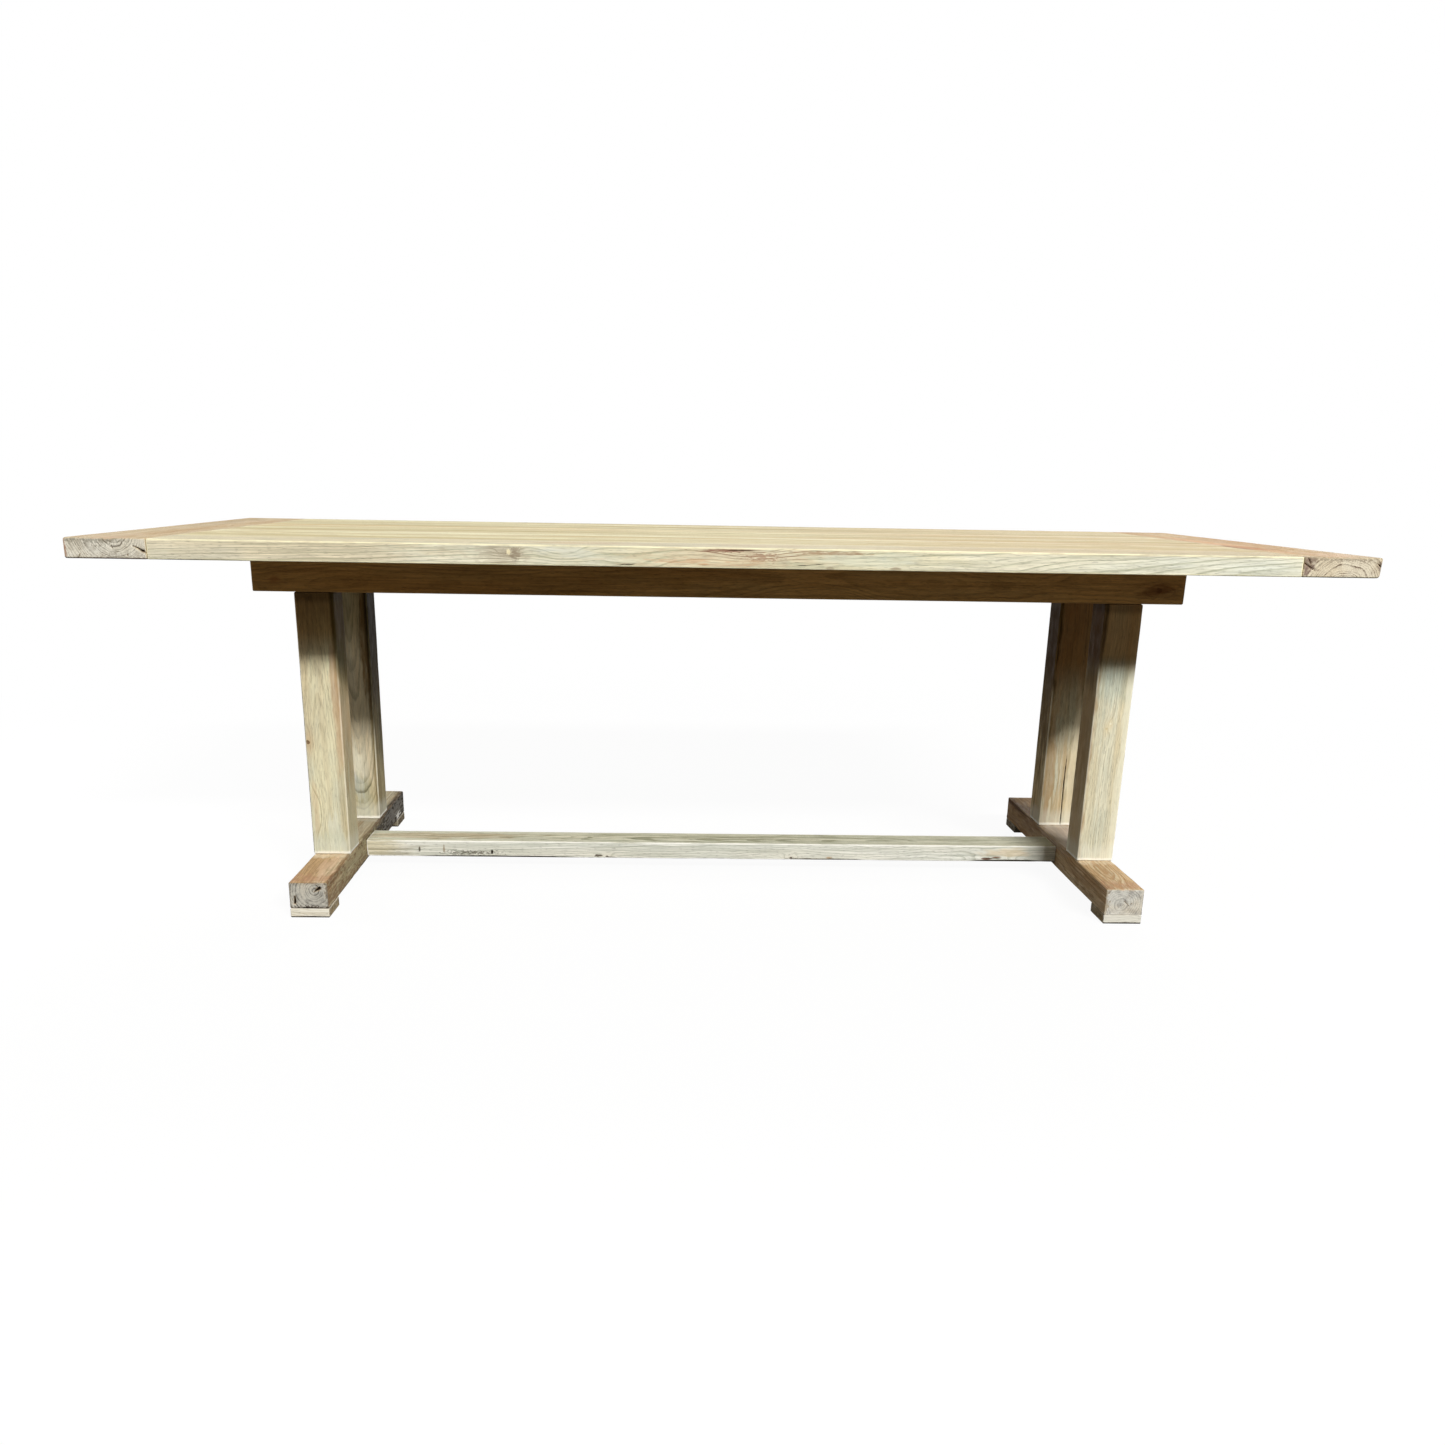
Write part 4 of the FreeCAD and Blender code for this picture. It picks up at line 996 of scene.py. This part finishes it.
apronValues = {
    "front": {
        "seed": 21,
        "knots": [
            knot("front", 0.944, -0.3, 0.006, 0.014, haloAmount=0.6, halo=(96, 60, 30)),
            buriedKnot("front", -0.5, 1.4, 0.02, 0.03),
            buriedKnot("front", 0.2, -1.3, 0.02, 0.03),
            buriedKnot("front", 0.62, 1.2, 0.02, 0.03),
        ],
        "stainsAndShade": [
            stainOrShade("front", -0.95, -0.4, (0.06, 0.02), (128, 70, 36), 0.5, 1.5),
            wash("front", -0.6, 0, (1.6, 0.2), (236, 230, 218), 1, 0.5),
            stainOrShade("front", 0.944, -0.3, (0.09, 0.03), (104, 62, 28), 0.6, 1.5),
        ],
    },
    "rear": {"seed": 22},
}

crossValues = {"radius": 0.0012, "chips": 0.001}
crossMembers = (
    "apron_end_left", "apron_end_right", "centre_bearer", "trestle_bearer_left", "trestle_bearer_right",
)


def apronFrame():
    for side, values in apronValues.items():
        makeTimber(f"apron_rail_{side}", 0, {"radius": 0.0028, **values}, frameLook)
    for seed, name in enumerate(crossMembers, start=23):
        makeTimber(name, 1, {"seed": seed, **crossValues}, frameLook,
                   (None, -railInside, None), (None, railInside, None))
    print("apron frame:", len(apronValues) + len(crossMembers))


# ---- the trestles

postLook = {
    **woodLook, "pale": (244, 236, 208), "late": (182, 168, 134), "warm": (218, 194, 154),
    "grey": (210, 212, 192), "worn": (250, 246, 226), "dirt": (44, 32, 20), "cut": (200, 190, 164),
    "cutLate": (130, 116, 90), "knot": (128, 98, 68), "rings": 0.7, "lines": 0.5, "warmth": 0.6,
    "greyness": 0.7, "wear": 0.6, "pith": (0.03, -0.05), "ringWidth": 0.005, "wander": 0.014,
}

# shade and shadeSize: the tint, reach and edge of the painted shadow that posts() lays over the top of each
# post's front
postValues = {
    ("left", "front"): {
        "seed": 31, "shade": (184, 160, 130), "shadeSize": (0.3, 0.55),
        "look": {
            "pith": (-0.058, 0.004), "lean": (-0.09, 0.02), "pale": (245, 240, 205), "rings": 0.45,
            "lines": 0.3, "ringWidth": 0.0062, "wander": 0.01,
        },
        "knots": [
            knot("front", -0.115, -0.86, 0.005, 0.01, haloAmount=0.5, halo=(190, 146, 98)),
            buriedKnot("front", -0.66, -0.45, 0.011, 0.02),
        ],
        "stainsAndShade": [
            stainOrShade("right", 0.35, 0, (0.5, 0.16, 0.012), (178, 146, 104), 0.55),
            wash("right", -0.7, 0, (0.4, 0.2, 0.02), (240, 236, 224), 0.9, 0.4),
            # painted shade: the top of the inner face and the front right under the apron, darkened for the
            # top's shadow
            wash("right", 1, 0, (0.5, 0.2, 0.012), (153, 155, 124), 1, 0.2, edge=0.5, over=True),
            wash("front", 1, 0, (0.18, 0.2, 0.012), (206, 200, 190), 1, 0.4, edge=0.9, over=True),
            stainOrShade("front", -0.86, 0.3, (0.12, 0.05), (220, 224, 212), 0.5, 1.4),
            stainOrShade("front", 0.3, 0.86, (0.4, 0.03), (190, 150, 112), 0.55, 1.2),
            stainOrShade("front", -0.62, -0.7, (0.16, 0.02), (208, 172, 126), 0.4, 1.4),
            stainOrShade("front", -0.66, -0.35, (0.14, 0.07), (156, 146, 104), 0.6, 0.8, grain=0.65),
            wash("front", -0.95, 0, (0.1, 0.2, 0.012), (238, 242, 238), 1, 0.6),
            stainOrShade("front", -0.55, 0, (0.36, 0.2, 0.012), (250, 244, 210), 0.15, 0.8),
            stainOrShade("left", -0.25, -1, (1.3, 0.02, 0.0024), (88, 74, 50), 0.8, 0.8, over=True),
        ],
    },
    ("left", "rear"): {
        "seed": 32, "shade": (202, 196, 176), "shadeSize": (0.36, 0.6),
        "knots": [buriedKnot("front", -1.06, 0.15, 0.018, 0.016)],
        "look": {
            "pith": (-0.012, 0.004), "lean": (-0.1, 0), "pale": (242, 235, 208), "late": (158, 150, 124),
            "grey": (196, 198, 184), "curl": 0.3, "lines": 0.2,
        },
        "stainsAndShade": [
            # painted shade: the inner face darkened all down and most at its upper part, for the shade on
            # that side
            wash("right", 0, 0, (1.6, 0.3, 0.012), (172, 164, 144), 1, 0.3),
            wash("right", 0.7, 0, (0.6, 0.3, 0.03), (158, 138, 110), 1, 0.6),
            stainOrShade("front", -0.5, -0.3, (0.12, 0.04), (240, 236, 214), 0.5, 1.4),
            stainOrShade("front", -0.72, -0.2, (0.08, 0.03), (220, 226, 226), 0.5, 1.4),
            wash("front", -0.85, 0.1, (0.16, 0.12), (226, 226, 214), 1, 0.8),
            stainOrShade("front", -0.82, 0.3, (0.15, 0.07), (104, 100, 78), 0.6, 0.8, grain=0.65),
            # painted shade: the top of the inner face, for the top's shadow
            wash("right", 1, 0, (0.7, 0.2, 0.012), (170, 166, 140), 1, 0.2, edge=0.5, over=True),
        ],
    },
    ("right", "front"): {
        "seed": 33, "shade": (198, 166, 132), "shadeSize": (0.29, 0.3),
        "look": {
            "pith": (0, 0.07), "lean": (0, -0.03), "warm": (226, 206, 160), "pale": (236, 232, 207),
            "grey": (212, 215, 196), "lines": 0.25, "rings": 0.5,
        },
        "knots": [
            knot("front", 0.06, -0.2, 0.003, 0.006, dark=0.1, colour=(214, 200, 160)),
            knot("front", 0.1, 0, 0.0025, 0.005, dark=0.1, colour=(242, 236, 210)),
        ],
        "stainsAndShade": [
            # partly painted shade: brown on the inner face is the wood's tone together with the shade on that
            # side
            stainOrShade("left", 0, 0, (1.2, 0.16, 0.012), (176, 146, 108), 0.7),
            wash("left", 0.6, 0, (0.7, 0.2, 0.012), (222, 214, 202), 0.9),
            # painted shade: the top of the inner face, for the top's shadow
            wash("left", 1, 0, (0.4, 0.2, 0.012), (156, 156, 150), 1, 0.2, edge=0.4, over=True),
            wash("front", 0.44, 0, (0.12, 0.3), (226, 234, 240), 0.95, 0.5),
            stainOrShade("front", -0.2, 0.92, (1, 0.03), (240, 237, 214), 0.75, 0.7),
        ],
    },
    ("right", "rear"): {
        "seed": 34, "shade": (190, 158, 124), "shadeSize": (0.56, 0.5),
        "look": {"pith": (0.03, 0.04), "pale": (218, 200, 162), "warm": (196, 164, 118)},
        "checks": [openCheck("front", 0.3, -1.06, -0.34, 0.0016, 0.005, 0.0018)],
        "stainsAndShade": [
            # partly painted shade: brown on the inner face is the wood's tone together with the shade on that
            # side; the two washes below darken its upper part and top as painted shade
            stainOrShade("left", 0, 0, (1.2, 0.16, 0.012), (174, 148, 108), 0.65),
            wash("left", 0.6, 0, (0.8, 0.2, 0.012), (150, 142, 122), 1),
            wash("left", 1, 0, (0.6, 0.2, 0.012), (196, 196, 172), 1, 0.2, edge=0.5, over=True),
            stainOrShade("front", -0.5, -0.7, (0.4, 0.03), (186, 150, 106), 0.45, 1.4),
            stainOrShade("front", -0.5, 0.75, (0.5, 0.03), (240, 230, 200), 0.5, 1.2),
            stainOrShade("front", -0.6, -0.2, (0.3, 0.06), (186, 154, 114), 0.4, 1.2, grain=0.2),
        ],
    },
}

postShadeAndRubs = [  # on every post: painted shade right under the top, rubbed pale at the foot
    wash("front", 1, 0, (0.05, 1, 0.5), (196, 190, 184), 0.9, 0.2, over=True),
    stainOrShade("front", -1, 0, (0.1, 1, 0.5), (230, 232, 220), 0.35, 0.5),
    stainOrShade("front", -1, 0, (0.018, 1, 0.5), (252, 250, 240), 0.85, 0.2, over=True),
]


def posts():
    for (end, side), values in postValues.items():
        long, edge = values["shadeSize"]
        # painted shadow: the shade of the table top, laid over the top of each post's front as a brown tint
        paintedShade = wash("front", 1, 0, (long, 1, 0.5), values["shade"], 1, 0, edge=edge, over=True)
        stainsAndShade = [paintedShade] + values["stainsAndShade"] + postShadeAndRubs
        makeTimber(f"post_{end}_{side}", 2, {"radius": 0.0034, **values, "stainsAndShade": stainsAndShade}, postLook,
                   (None, None, footTop), (None, None, railUnder))
    print("posts:", len(postValues))


footLook = {
    **woodLook, "pale": (231, 211, 174), "late": (162, 128, 90), "warm": (206, 166, 118),
    "grey": (208, 194, 168), "worn": (230, 212, 180), "dirt": (34, 26, 20), "cut": (200, 198, 190),
    "cutLate": (120, 117, 112), "knot": (104, 74, 48), "rings": 0.7, "lines": 0.5, "warmth": 0.8,
    "greyness": 0.5, "wear": 0.45, "pith": (0.004, 0.002), "ringWidth": 0.0054, "wander": 0.016,
    "early": 0.3, "cutRings": 0.75, "cutMottle": 0.7,
}

footTops = [  # a pale rim of dust and glue round each post
    stainOrShade("top", -0.5, 0, (0.05, 0.16, 0.006), (236, 220, 194), 0.7, 1),
    stainOrShade("top", 0.26, 0, (0.04, 0.16, 0.006), (226, 212, 190), 0.6, 1),
    stainOrShade("top", -0.93, 0, (0.06, 0.2, 0.006), (196, 150, 122), 0.5, 1.5, torn=(50, 60)),
]

footValues = {
    "left": {
        "seed": 41,
        "look": {
            "pith": (-0.008, 0.006), "pale": (238, 220, 186), "warm": (216, 178, 132),
            "worn": (112, 92, 70), "wear": 0.6, "cut": (210, 206, 194), "cutRings": 1, "cutMottle": 0.55,
        },
        "endChecks": [
            endCheck((0.56, 0.56), (0.3, 0.3), 0.0034, 0.008),
            endCheck((-0.74, -0.6), (-0.7, 0), 0.0026, 0.006),
            endCheck((-0.3, -0.95), (0.2, -0.93), 0.0016, 0.003),
        ],
        "stainsAndShade": [
            wash("top", 0.8, 0, (0.5, 0.3, 0.02), (204, 212, 214), 1, 0.4),
            wash("top", 0, 0, (0.34, 0.3, 0.02), (206, 212, 214), 1, 0.4),
            wash("right", 0.8, 0, (0.7, 0.1, 0.02), (80, 78, 72), 1, 0.5),
            wash("right", 0, 0, (1.8, 0.2, 0.008), (236, 239, 240), 1, 0.3),
            wash("right", 0, 0, (1.8, 0.2, 0.008), (172, 152, 132), 0.7, 2.4, torn=(9, 130)),
            wash("right", -0.1, 0, (0.6, 0.1, 0.02), (232, 236, 232), 1, 0.8),
            stainOrShade("right", 0.8, -0.6, (0.05, 0.02, 0.008), (236, 234, 228), 0.8, 2.6, torn=(40, 140)),
            stainOrShade("top", -0.7, 0.3, (0.16, 0.04, 0.006), (238, 206, 176), 0.5, 1.7),
            wash("top", -0.7, 0, (0.4, 0.2, 0.006), (238, 236, 230), 0.9, 2.4, torn=(60, 180)),
            stainOrShade("right", -0.45, 0.2, (0.4, 0.05, 0.006), (214, 208, 166), 0.3, 3, torn=(50, 160)),
            stainOrShade("right", 0.72, 0.1, (0.3, 0.06, 0.006), (190, 186, 176), 0.25, 2.8, torn=(40, 160)),
            # painted shade: a dark line along the lower edge of the front end, at the crease with the pad
            stainOrShade("under", -1, 0, (0.01, 0.09, 0.007), (64, 54, 46), 0.9, 1.6, torn=(300, 240), over=True),
            stainOrShade("left", -1, 0, (0.01, 0.09, 0.0026), (84, 78, 66), 0.8, 0.8, over=True),
            # painted shade: a dark line along the lower edge of the inner face
            wash("right", 0, -1, (1, 0.012, 0.006), (120, 110, 90), 0.8, 0.8, over=True),
        ],
    },
    "right": {
        "seed": 42, "soft": {"under": 0.0012},
        "look": {
            "pale": (240, 220, 184), "warm": (218, 178, 130), "cut": (219, 217, 208),
            "cutLate": (160, 156, 150), "pith": (0.012, -0.002), "cutRings": 0.6, "wear": 0.25,
        },
        "endChecks": [
            endCheck((0, 0.1), (0.4, -0.5), 0.0009, 0.003),
            endCheck((0.2, -0.3), (0.5, 0), 0.0007, 0.003),
        ],
        "stainsAndShade": [
            wash("top", 0.85, 0, (0.5, 0.3, 0.02), (150, 140, 124), 1, 0.4),
            stainOrShade("top", 0, 0, (0.34, 0.3, 0.02), (200, 194, 188), 0.6, 0.7),
            wash("left", 0.85, 0, (0.6, 0.1, 0.02), (196, 184, 168), 1, 0.4),
            stainOrShade("under", -1, 0, (0.03, 0.3, 0.004), (236, 232, 222), 0.6, 0.8),
            stainOrShade("top", -0.72, 0, (0.3, 0.08, 0.006), (206, 158, 110), 0.5, 1.2, grain=0.1),
            wash("top", -0.7, 0, (0.4, 0.2, 0.006), (240, 240, 236), 0.9, 2.2, torn=(50, 160)),
            wash("left", 0, 0, (1.8, 0.2, 0.008), (198, 180, 156), 0.65, 2.4, torn=(9, 130)),
            stainOrShade("right", -1, 0, (0.01, 0.09, 0.0024), (90, 84, 70), 0.8, 0.8, over=True),
        ],
    },
}

padLook = {
    **footLook, "pale": (254, 250, 236), "late": (222, 212, 188), "warm": (246, 236, 210),
    "grey": (240, 235, 222), "cut": (174, 154, 118), "cutLate": (118, 102, 78), "pith": (0.03, -0.04),
    "wear": 0.3, "worn": (252, 248, 232), "rings": 0.9, "ringWidth": 0.003,
}

# painted shade: a dark line along each pad's lower front edge, where it meets the floor
padFloorShade = stainOrShade("front", 0, -1, (0.5, 0.0088, 0.005), (50, 44, 36), 0.95, 0.4, edge=0.4, over=True)
padShade = wash("front", 0, 0, (0.5, 0.3, 0.5), (150, 146, 138), 1, 0.5)
padWash = stainOrShade("front", 0, 0, (0.4, 0.1, 0.006), (222, 221, 212), 0.75)

padValues = {
    ("left", "front"): {"seed": 51, "stainsAndShade": [padFloorShade]},
    ("left", "rear"): {"seed": 52, "stainsAndShade": [padFloorShade, padShade]},
    ("right", "front"): {"seed": 53, "stainsAndShade": [padFloorShade, padWash], "radius": 0.0012},
    ("right", "rear"): {"seed": 54, "stainsAndShade": [padFloorShade, padShade]},
}


def footBeams():
    for end, values in footValues.items():
        values = {"crossStep": 0.0016, "radius": 0.0034, **values, "stainsAndShade": footTops + values["stainsAndShade"]}
        makeTimber(f"foot_beam_{end}", 1, values, footLook)
    for (end, side), values in padValues.items():
        makeTimber(f"foot_pad_{end}_{side}", 0, {"radius": 0.0024, **values}, padLook)
    print("foot beams and pads:", len(footValues) + len(padValues))


stretcherLook = {
    **woodLook, "pale": (252, 252, 243), "late": (190, 193, 177), "warm": (240, 233, 212),
    "grey": (234, 238, 228), "worn": (255, 254, 246), "dirt": (44, 36, 28), "cut": (206, 204, 186),
    "cutLate": (140, 134, 114), "knot": (92, 70, 52), "rings": 0.8, "lines": 0.5, "warmth": 0.4,
    "greyness": 0.6, "wear": 2, "pith": (-0.01, -0.03), "lean": (0, 0.02), "ringWidth": 0.0034,
    "wander": 0.008, "early": 0.45,
}

stretcherValues = {
    "seed": 61, "radius": 0.0018, "chips": 0.006,
    "knots": [
        knot("front", -0.31, -0.9, 0.004, 0.008),
        knot("front", 0.225, -0.85, 0.0035, 0.008),
        buriedKnot("front", -0.72, -1.2, 0.008, 0.012),
        buriedKnot("front", 0.8135, -0.8, 0.009, 0.012),
        buriedKnot("front", 0.5, 1.4, 0.01, 0.012),
    ],
    "checks": [
        openCheck("front", -0.9, -0.866, -0.385, 0.001, 0.003, 0.0008),
        openCheck("front", -0.85, 0.2, 0.3, 0.0009, 0.002, 0.001),
        openCheck("front", -0.55, 0.78, 0.845, 0.001, 0.002, 0.003),
        openCheck("top", -0.1, -0.1, 0.02, 0.0009, 0.002, 0.003),
    ],
    "stainsAndShade": [
        stainOrShade("front", 0.797, -0.68, (0.034, 0.007, 0.008), (112, 72, 50), 0.9, 1),
        stainOrShade("front", 0.828, -0.46, (0.034, 0.006, 0.008), (124, 84, 58), 0.85, 1),
        stainOrShade("front", 0.85, 0.1, (0.14, 0.03, 0.008), (224, 200, 158), 0.5),
        stainOrShade("front", -0.849, 0, (0.006, 0.02, 0.006), (84, 74, 58), 0.9, 0.9),
        stainOrShade("front", -0.779, 0, (0.006, 0.028, 0.006), (150, 128, 98), 0.7, 0.9),
        stainOrShade("front", -0.7, -0.45, (0.11, 0.01, 0.006), (100, 94, 80), 0.8, 3, torn=(150, 500)),
        stainOrShade("front", -0.641, -0.3, (0.007, 0.013, 0.006), (44, 36, 28), 1, 0.6),
        stainOrShade("front", -0.335, -0.7, (0.02, 0.008, 0.006), (84, 74, 60), 0.9, 1.4, torn=(90, 220)),
        stainOrShade("front", -0.3, -0.85, (0.04, 0.003, 0.006), (84, 74, 60), 0.8, 0.6),
        stainOrShade("front", 0.335, -0.75, (0.02, 0.007, 0.006), (176, 140, 96), 0.7, 1.2),
        # painted shade: dark lines along the lower front arris
        stainOrShade("front", -0.628, -0.96, (0.38, 0.0074, 0.006), (56, 52, 44), 1, 0.3, edge=0.4, over=True),
        stainOrShade("front", 0.34, -1, (0.2, 0.009, 0.008), (90, 84, 70), 0.9, 0.5, edge=0.4, over=True),
        stainOrShade("front", 0.87, -1, (0.26, 0.0105, 0.008), (48, 42, 36), 1, 0.3, edge=0.4, over=True),
        stainOrShade("front", 0, -1, (6, 0.0036, 0.0016), (120, 114, 98), 0.6, 0.3, over=True),
        wash("front", -0.97, 0, (0.2, 0.1), (242, 234, 214), 0.9, 0.9, edge=0.9),
        stainOrShade("front", -0.93, 0, (0.16, 0.1), (150, 138, 110), 0.5, grain=0.2),
        wash("top", 0, 0.1, (6, 0.3, 0.003), (224, 222, 208), 1, 0.2),
        wash("top", 0, 0, (1.6, 0.08, 0.003), (200, 200, 186), 0.8, 1, grain=0.1),
        wash("top", -0.8, 0, (0.5, 0.06, 0.003), (224, 206, 188), 0.7, 1.2),
    ],
}


def stretcherRail():
    makeTimber("stretcher", 0, stretcherValues, stretcherLook,
               (-trestleInside, None, None), (trestleInside, None, None))
    print("stretcher")


# ---- pegs, plugs and buttons

turnedValues = {  # rings are steps along a peg, closer together towards its ends
    "breadboard_pegs": {"along": 2, "radius": 0.0045, "rounding": 0.0009, "rings": 22, "facets": 20,
                        "proud": -0.00006},
    "bolt_plugs": {"along": 0, "radius": 0.013, "rounding": 0.0012, "rings": 12, "facets": 40,
                   "proud": -0.00008},
}

buttonValues = {"bevel": 0.0009, "steps": 2}

smallLook = {
    **frameLook, "pale": (206, 176, 128), "late": (150, 114, 72), "warm": (186, 146, 96),
    "grey": (190, 170, 134), "cut": (196, 164, 118), "cutLate": (146, 112, 74), "pith": (0, 0),
    "ringWidth": 0.0016, "wander": 0.004,
}


def pegTree():
    # turned pegs with rounded ends, one on each point, aimed by the point's own direction
    tree = bpy.data.node_groups.new("turnedPegs", "GeometryNodeTree")
    tree.is_modifier = True
    kinds = {"Geometry": "Geometry", "length": "Float", "radius": "Float", "rounding": "Float",
             "rings": "Int", "facets": "Int", "material": "Material"}
    for label, kind in kinds.items():
        tree.interface.new_socket(label, in_out="INPUT", socket_type="NodeSocket" + kind)
    tree.interface.new_socket("Geometry", in_out="OUTPUT", socket_type="NodeSocketGeometry")
    given = wires(node(tree, "NodeGroupInput"))
    length, rounding = given["length"], given["rounding"]
    turn = first(tree, "GeometryNodeInputIndex") / (given["rings"] - 1) * math.pi
    height = (1 - sums("COSINE", turn)) * 0.5 * length
    line = first(tree, "GeometryNodeMeshLine", {"Count": given["rings"]})
    spot = first(tree, "ShaderNodeCombineXYZ", {"Z": height})
    placed = first(tree, "GeometryNodeSetPosition", {"Geometry": line, "Position": spot})
    curve = first(tree, "GeometryNodeMeshToCurve", {"Mesh": placed})
    along = part(first(tree, "GeometryNodeInputPosition"), "Z")
    near = sums("MINIMUM", along, length - along)
    share = 1 - sums("MINIMUM", near / rounding, 1)
    wide = given["radius"] - rounding * (1 - sums("SQRT", 1 - share * share))
    sized = first(tree, "GeometryNodeSetCurveRadius", {"Curve": curve, "Radius": wide})
    ring = first(tree, "GeometryNodeCurvePrimitiveCircle", {"Resolution": given["facets"], "Radius": 1})
    sweep = node(tree, "GeometryNodeCurveToMesh", {"Curve": sized, "Profile Curve": ring, "Fill Caps": True})
    if "Scale" in sweep.inputs:
        feed(sweep.inputs["Scale"], first(tree, "GeometryNodeInputRadius"))
    aim = first(tree, "GeometryNodeInputNamedAttribute", {"Name": "pointing"}, data_type="FLOAT_VECTOR")
    aimed = first(tree, "FunctionNodeAlignRotationToVector", {"Vector": aim}, axis="Z")
    pegs = first(tree, "GeometryNodeInstanceOnPoints", {
        "Points": given["Geometry"], "Instance": Wire(sweep.outputs[0]), "Rotation": aimed})
    real = first(tree, "GeometryNodeRealizeInstances", {"Geometry": pegs})
    coated = first(tree, "GeometryNodeSetMaterial", {"Geometry": real, "Material": given["material"]})
    node(tree, "NodeGroupOutput", {0: coated})
    return tree


def islandBoxes(name):
    # the lowest and highest corner of each separate solid in a CAD node
    solid = welded(name)
    seen, boxes = set(), []
    for start in solid.verts:
        found, queue = [], [start]
        while queue:
            vert = queue.pop()
            if vert not in seen:
                seen.add(vert)
                found.append(vert.co)
                queue += [edge.other_vert(vert) for edge in vert.link_edges]
        if found:
            boxes.append((np.min(found, axis=0), np.max(found, axis=0)))
    solid.free()
    return np.array(boxes)


def turnedPegs(name, values):
    axis, proud = values["along"], values["proud"]
    boxes = islandBoxes(name)
    starts = boxes.mean(axis=1)
    starts[:, axis] = boxes[:, 0, axis] - proud
    length = boxes[0, 1, axis] - boxes[0, 0, axis] + proud * 2
    mesh = bpy.data.meshes.new(name + "Points")
    mesh.from_pydata(starts.tolist(), [], [])
    pointing = mesh.attributes.new("pointing", "FLOAT_VECTOR", "POINT")
    pointing.data.foreach_set("vector", np.eye(3)[axis].tolist() * len(boxes))
    points = addObject(name + "Points", mesh)
    change = points.modifiers.new("pegs", "NODES")
    change.node_group = turnedPegsTree
    inputs = {**values, "length": float(length), "radius": values["radius"] + proud,
              "material": timberMaterial(timberOf(name, axis, {"seed": 71}, smallLook))}
    for item in turnedPegsTree.interface.items_tree:
        if item.in_out == "INPUT" and item.name in inputs:
            change[item.identifier] = inputs[item.name]
    finishPiece(name, "_turned", evaluated(points), 50)
    print(name + ":", len(boxes), "turned")


def tableButtons():
    name = "table_buttons"
    mesh = asMesh("buttons", welded(name))
    mesh.materials.append(timberMaterial(timberOf(name, 1, {"seed": 72}, smallLook)))
    rough = addObject("buttons", mesh)
    change = rough.modifiers.new("bevel", "BEVEL")
    change.width = buttonValues["bevel"]
    change.segments = buttonValues["steps"]
    change.limit_method = "ANGLE"
    change.angle_limit = math.radians(50)
    finishPiece(name, "_eased", evaluated(rough), 40)
    print("table buttons")


# ---- hardware

metalValues = {
    "zincSteel": {
        "bright": (0.66, 0.67, 0.69, 1), "dull": (0.42, 0.43, 0.45, 1),
        "nodes": (
            "frame_screws", "button_screws", "pad_screws", "foot_lag_screws", "foot_lag_washers",
            "bearer_bolts", "bearer_washers", "stretcher_bolts", "stretcher_washers", "stretcher_barrel_nuts",
        ),
    },
    "insertBrass": {
        "bright": (0.82, 0.62, 0.28, 1), "dull": (0.5, 0.36, 0.16, 1), "nodes": ("bearer_inserts",),
    },
}


def hardware():
    for name, values in metalValues.items():
        material, tree = newMaterial(name)
        place = first(tree, "ShaderNodeTexCoord", output="Object")
        skin = useGroup(tree, platedMetal, {**values, "place": place})
        coat(tree, {"Base Color": skin["colour"], "Roughness": skin["rough"], "Metallic": 1},
             skin["height"], 0.2, 0.0002)
        for nodeName in values["nodes"]:
            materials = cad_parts[nodeName].data.materials
            materials.clear()
            materials.append(material)
        print(name + ":", len(values["nodes"]))


turnedPegsTree = pegTree()
topBoards()
breadboards()
apronFrame()
posts()
footBeams()
stretcherRail()
for turnedName, turned in turnedValues.items():
    turnedPegs(turnedName, turned)
tableButtons()
hardware()
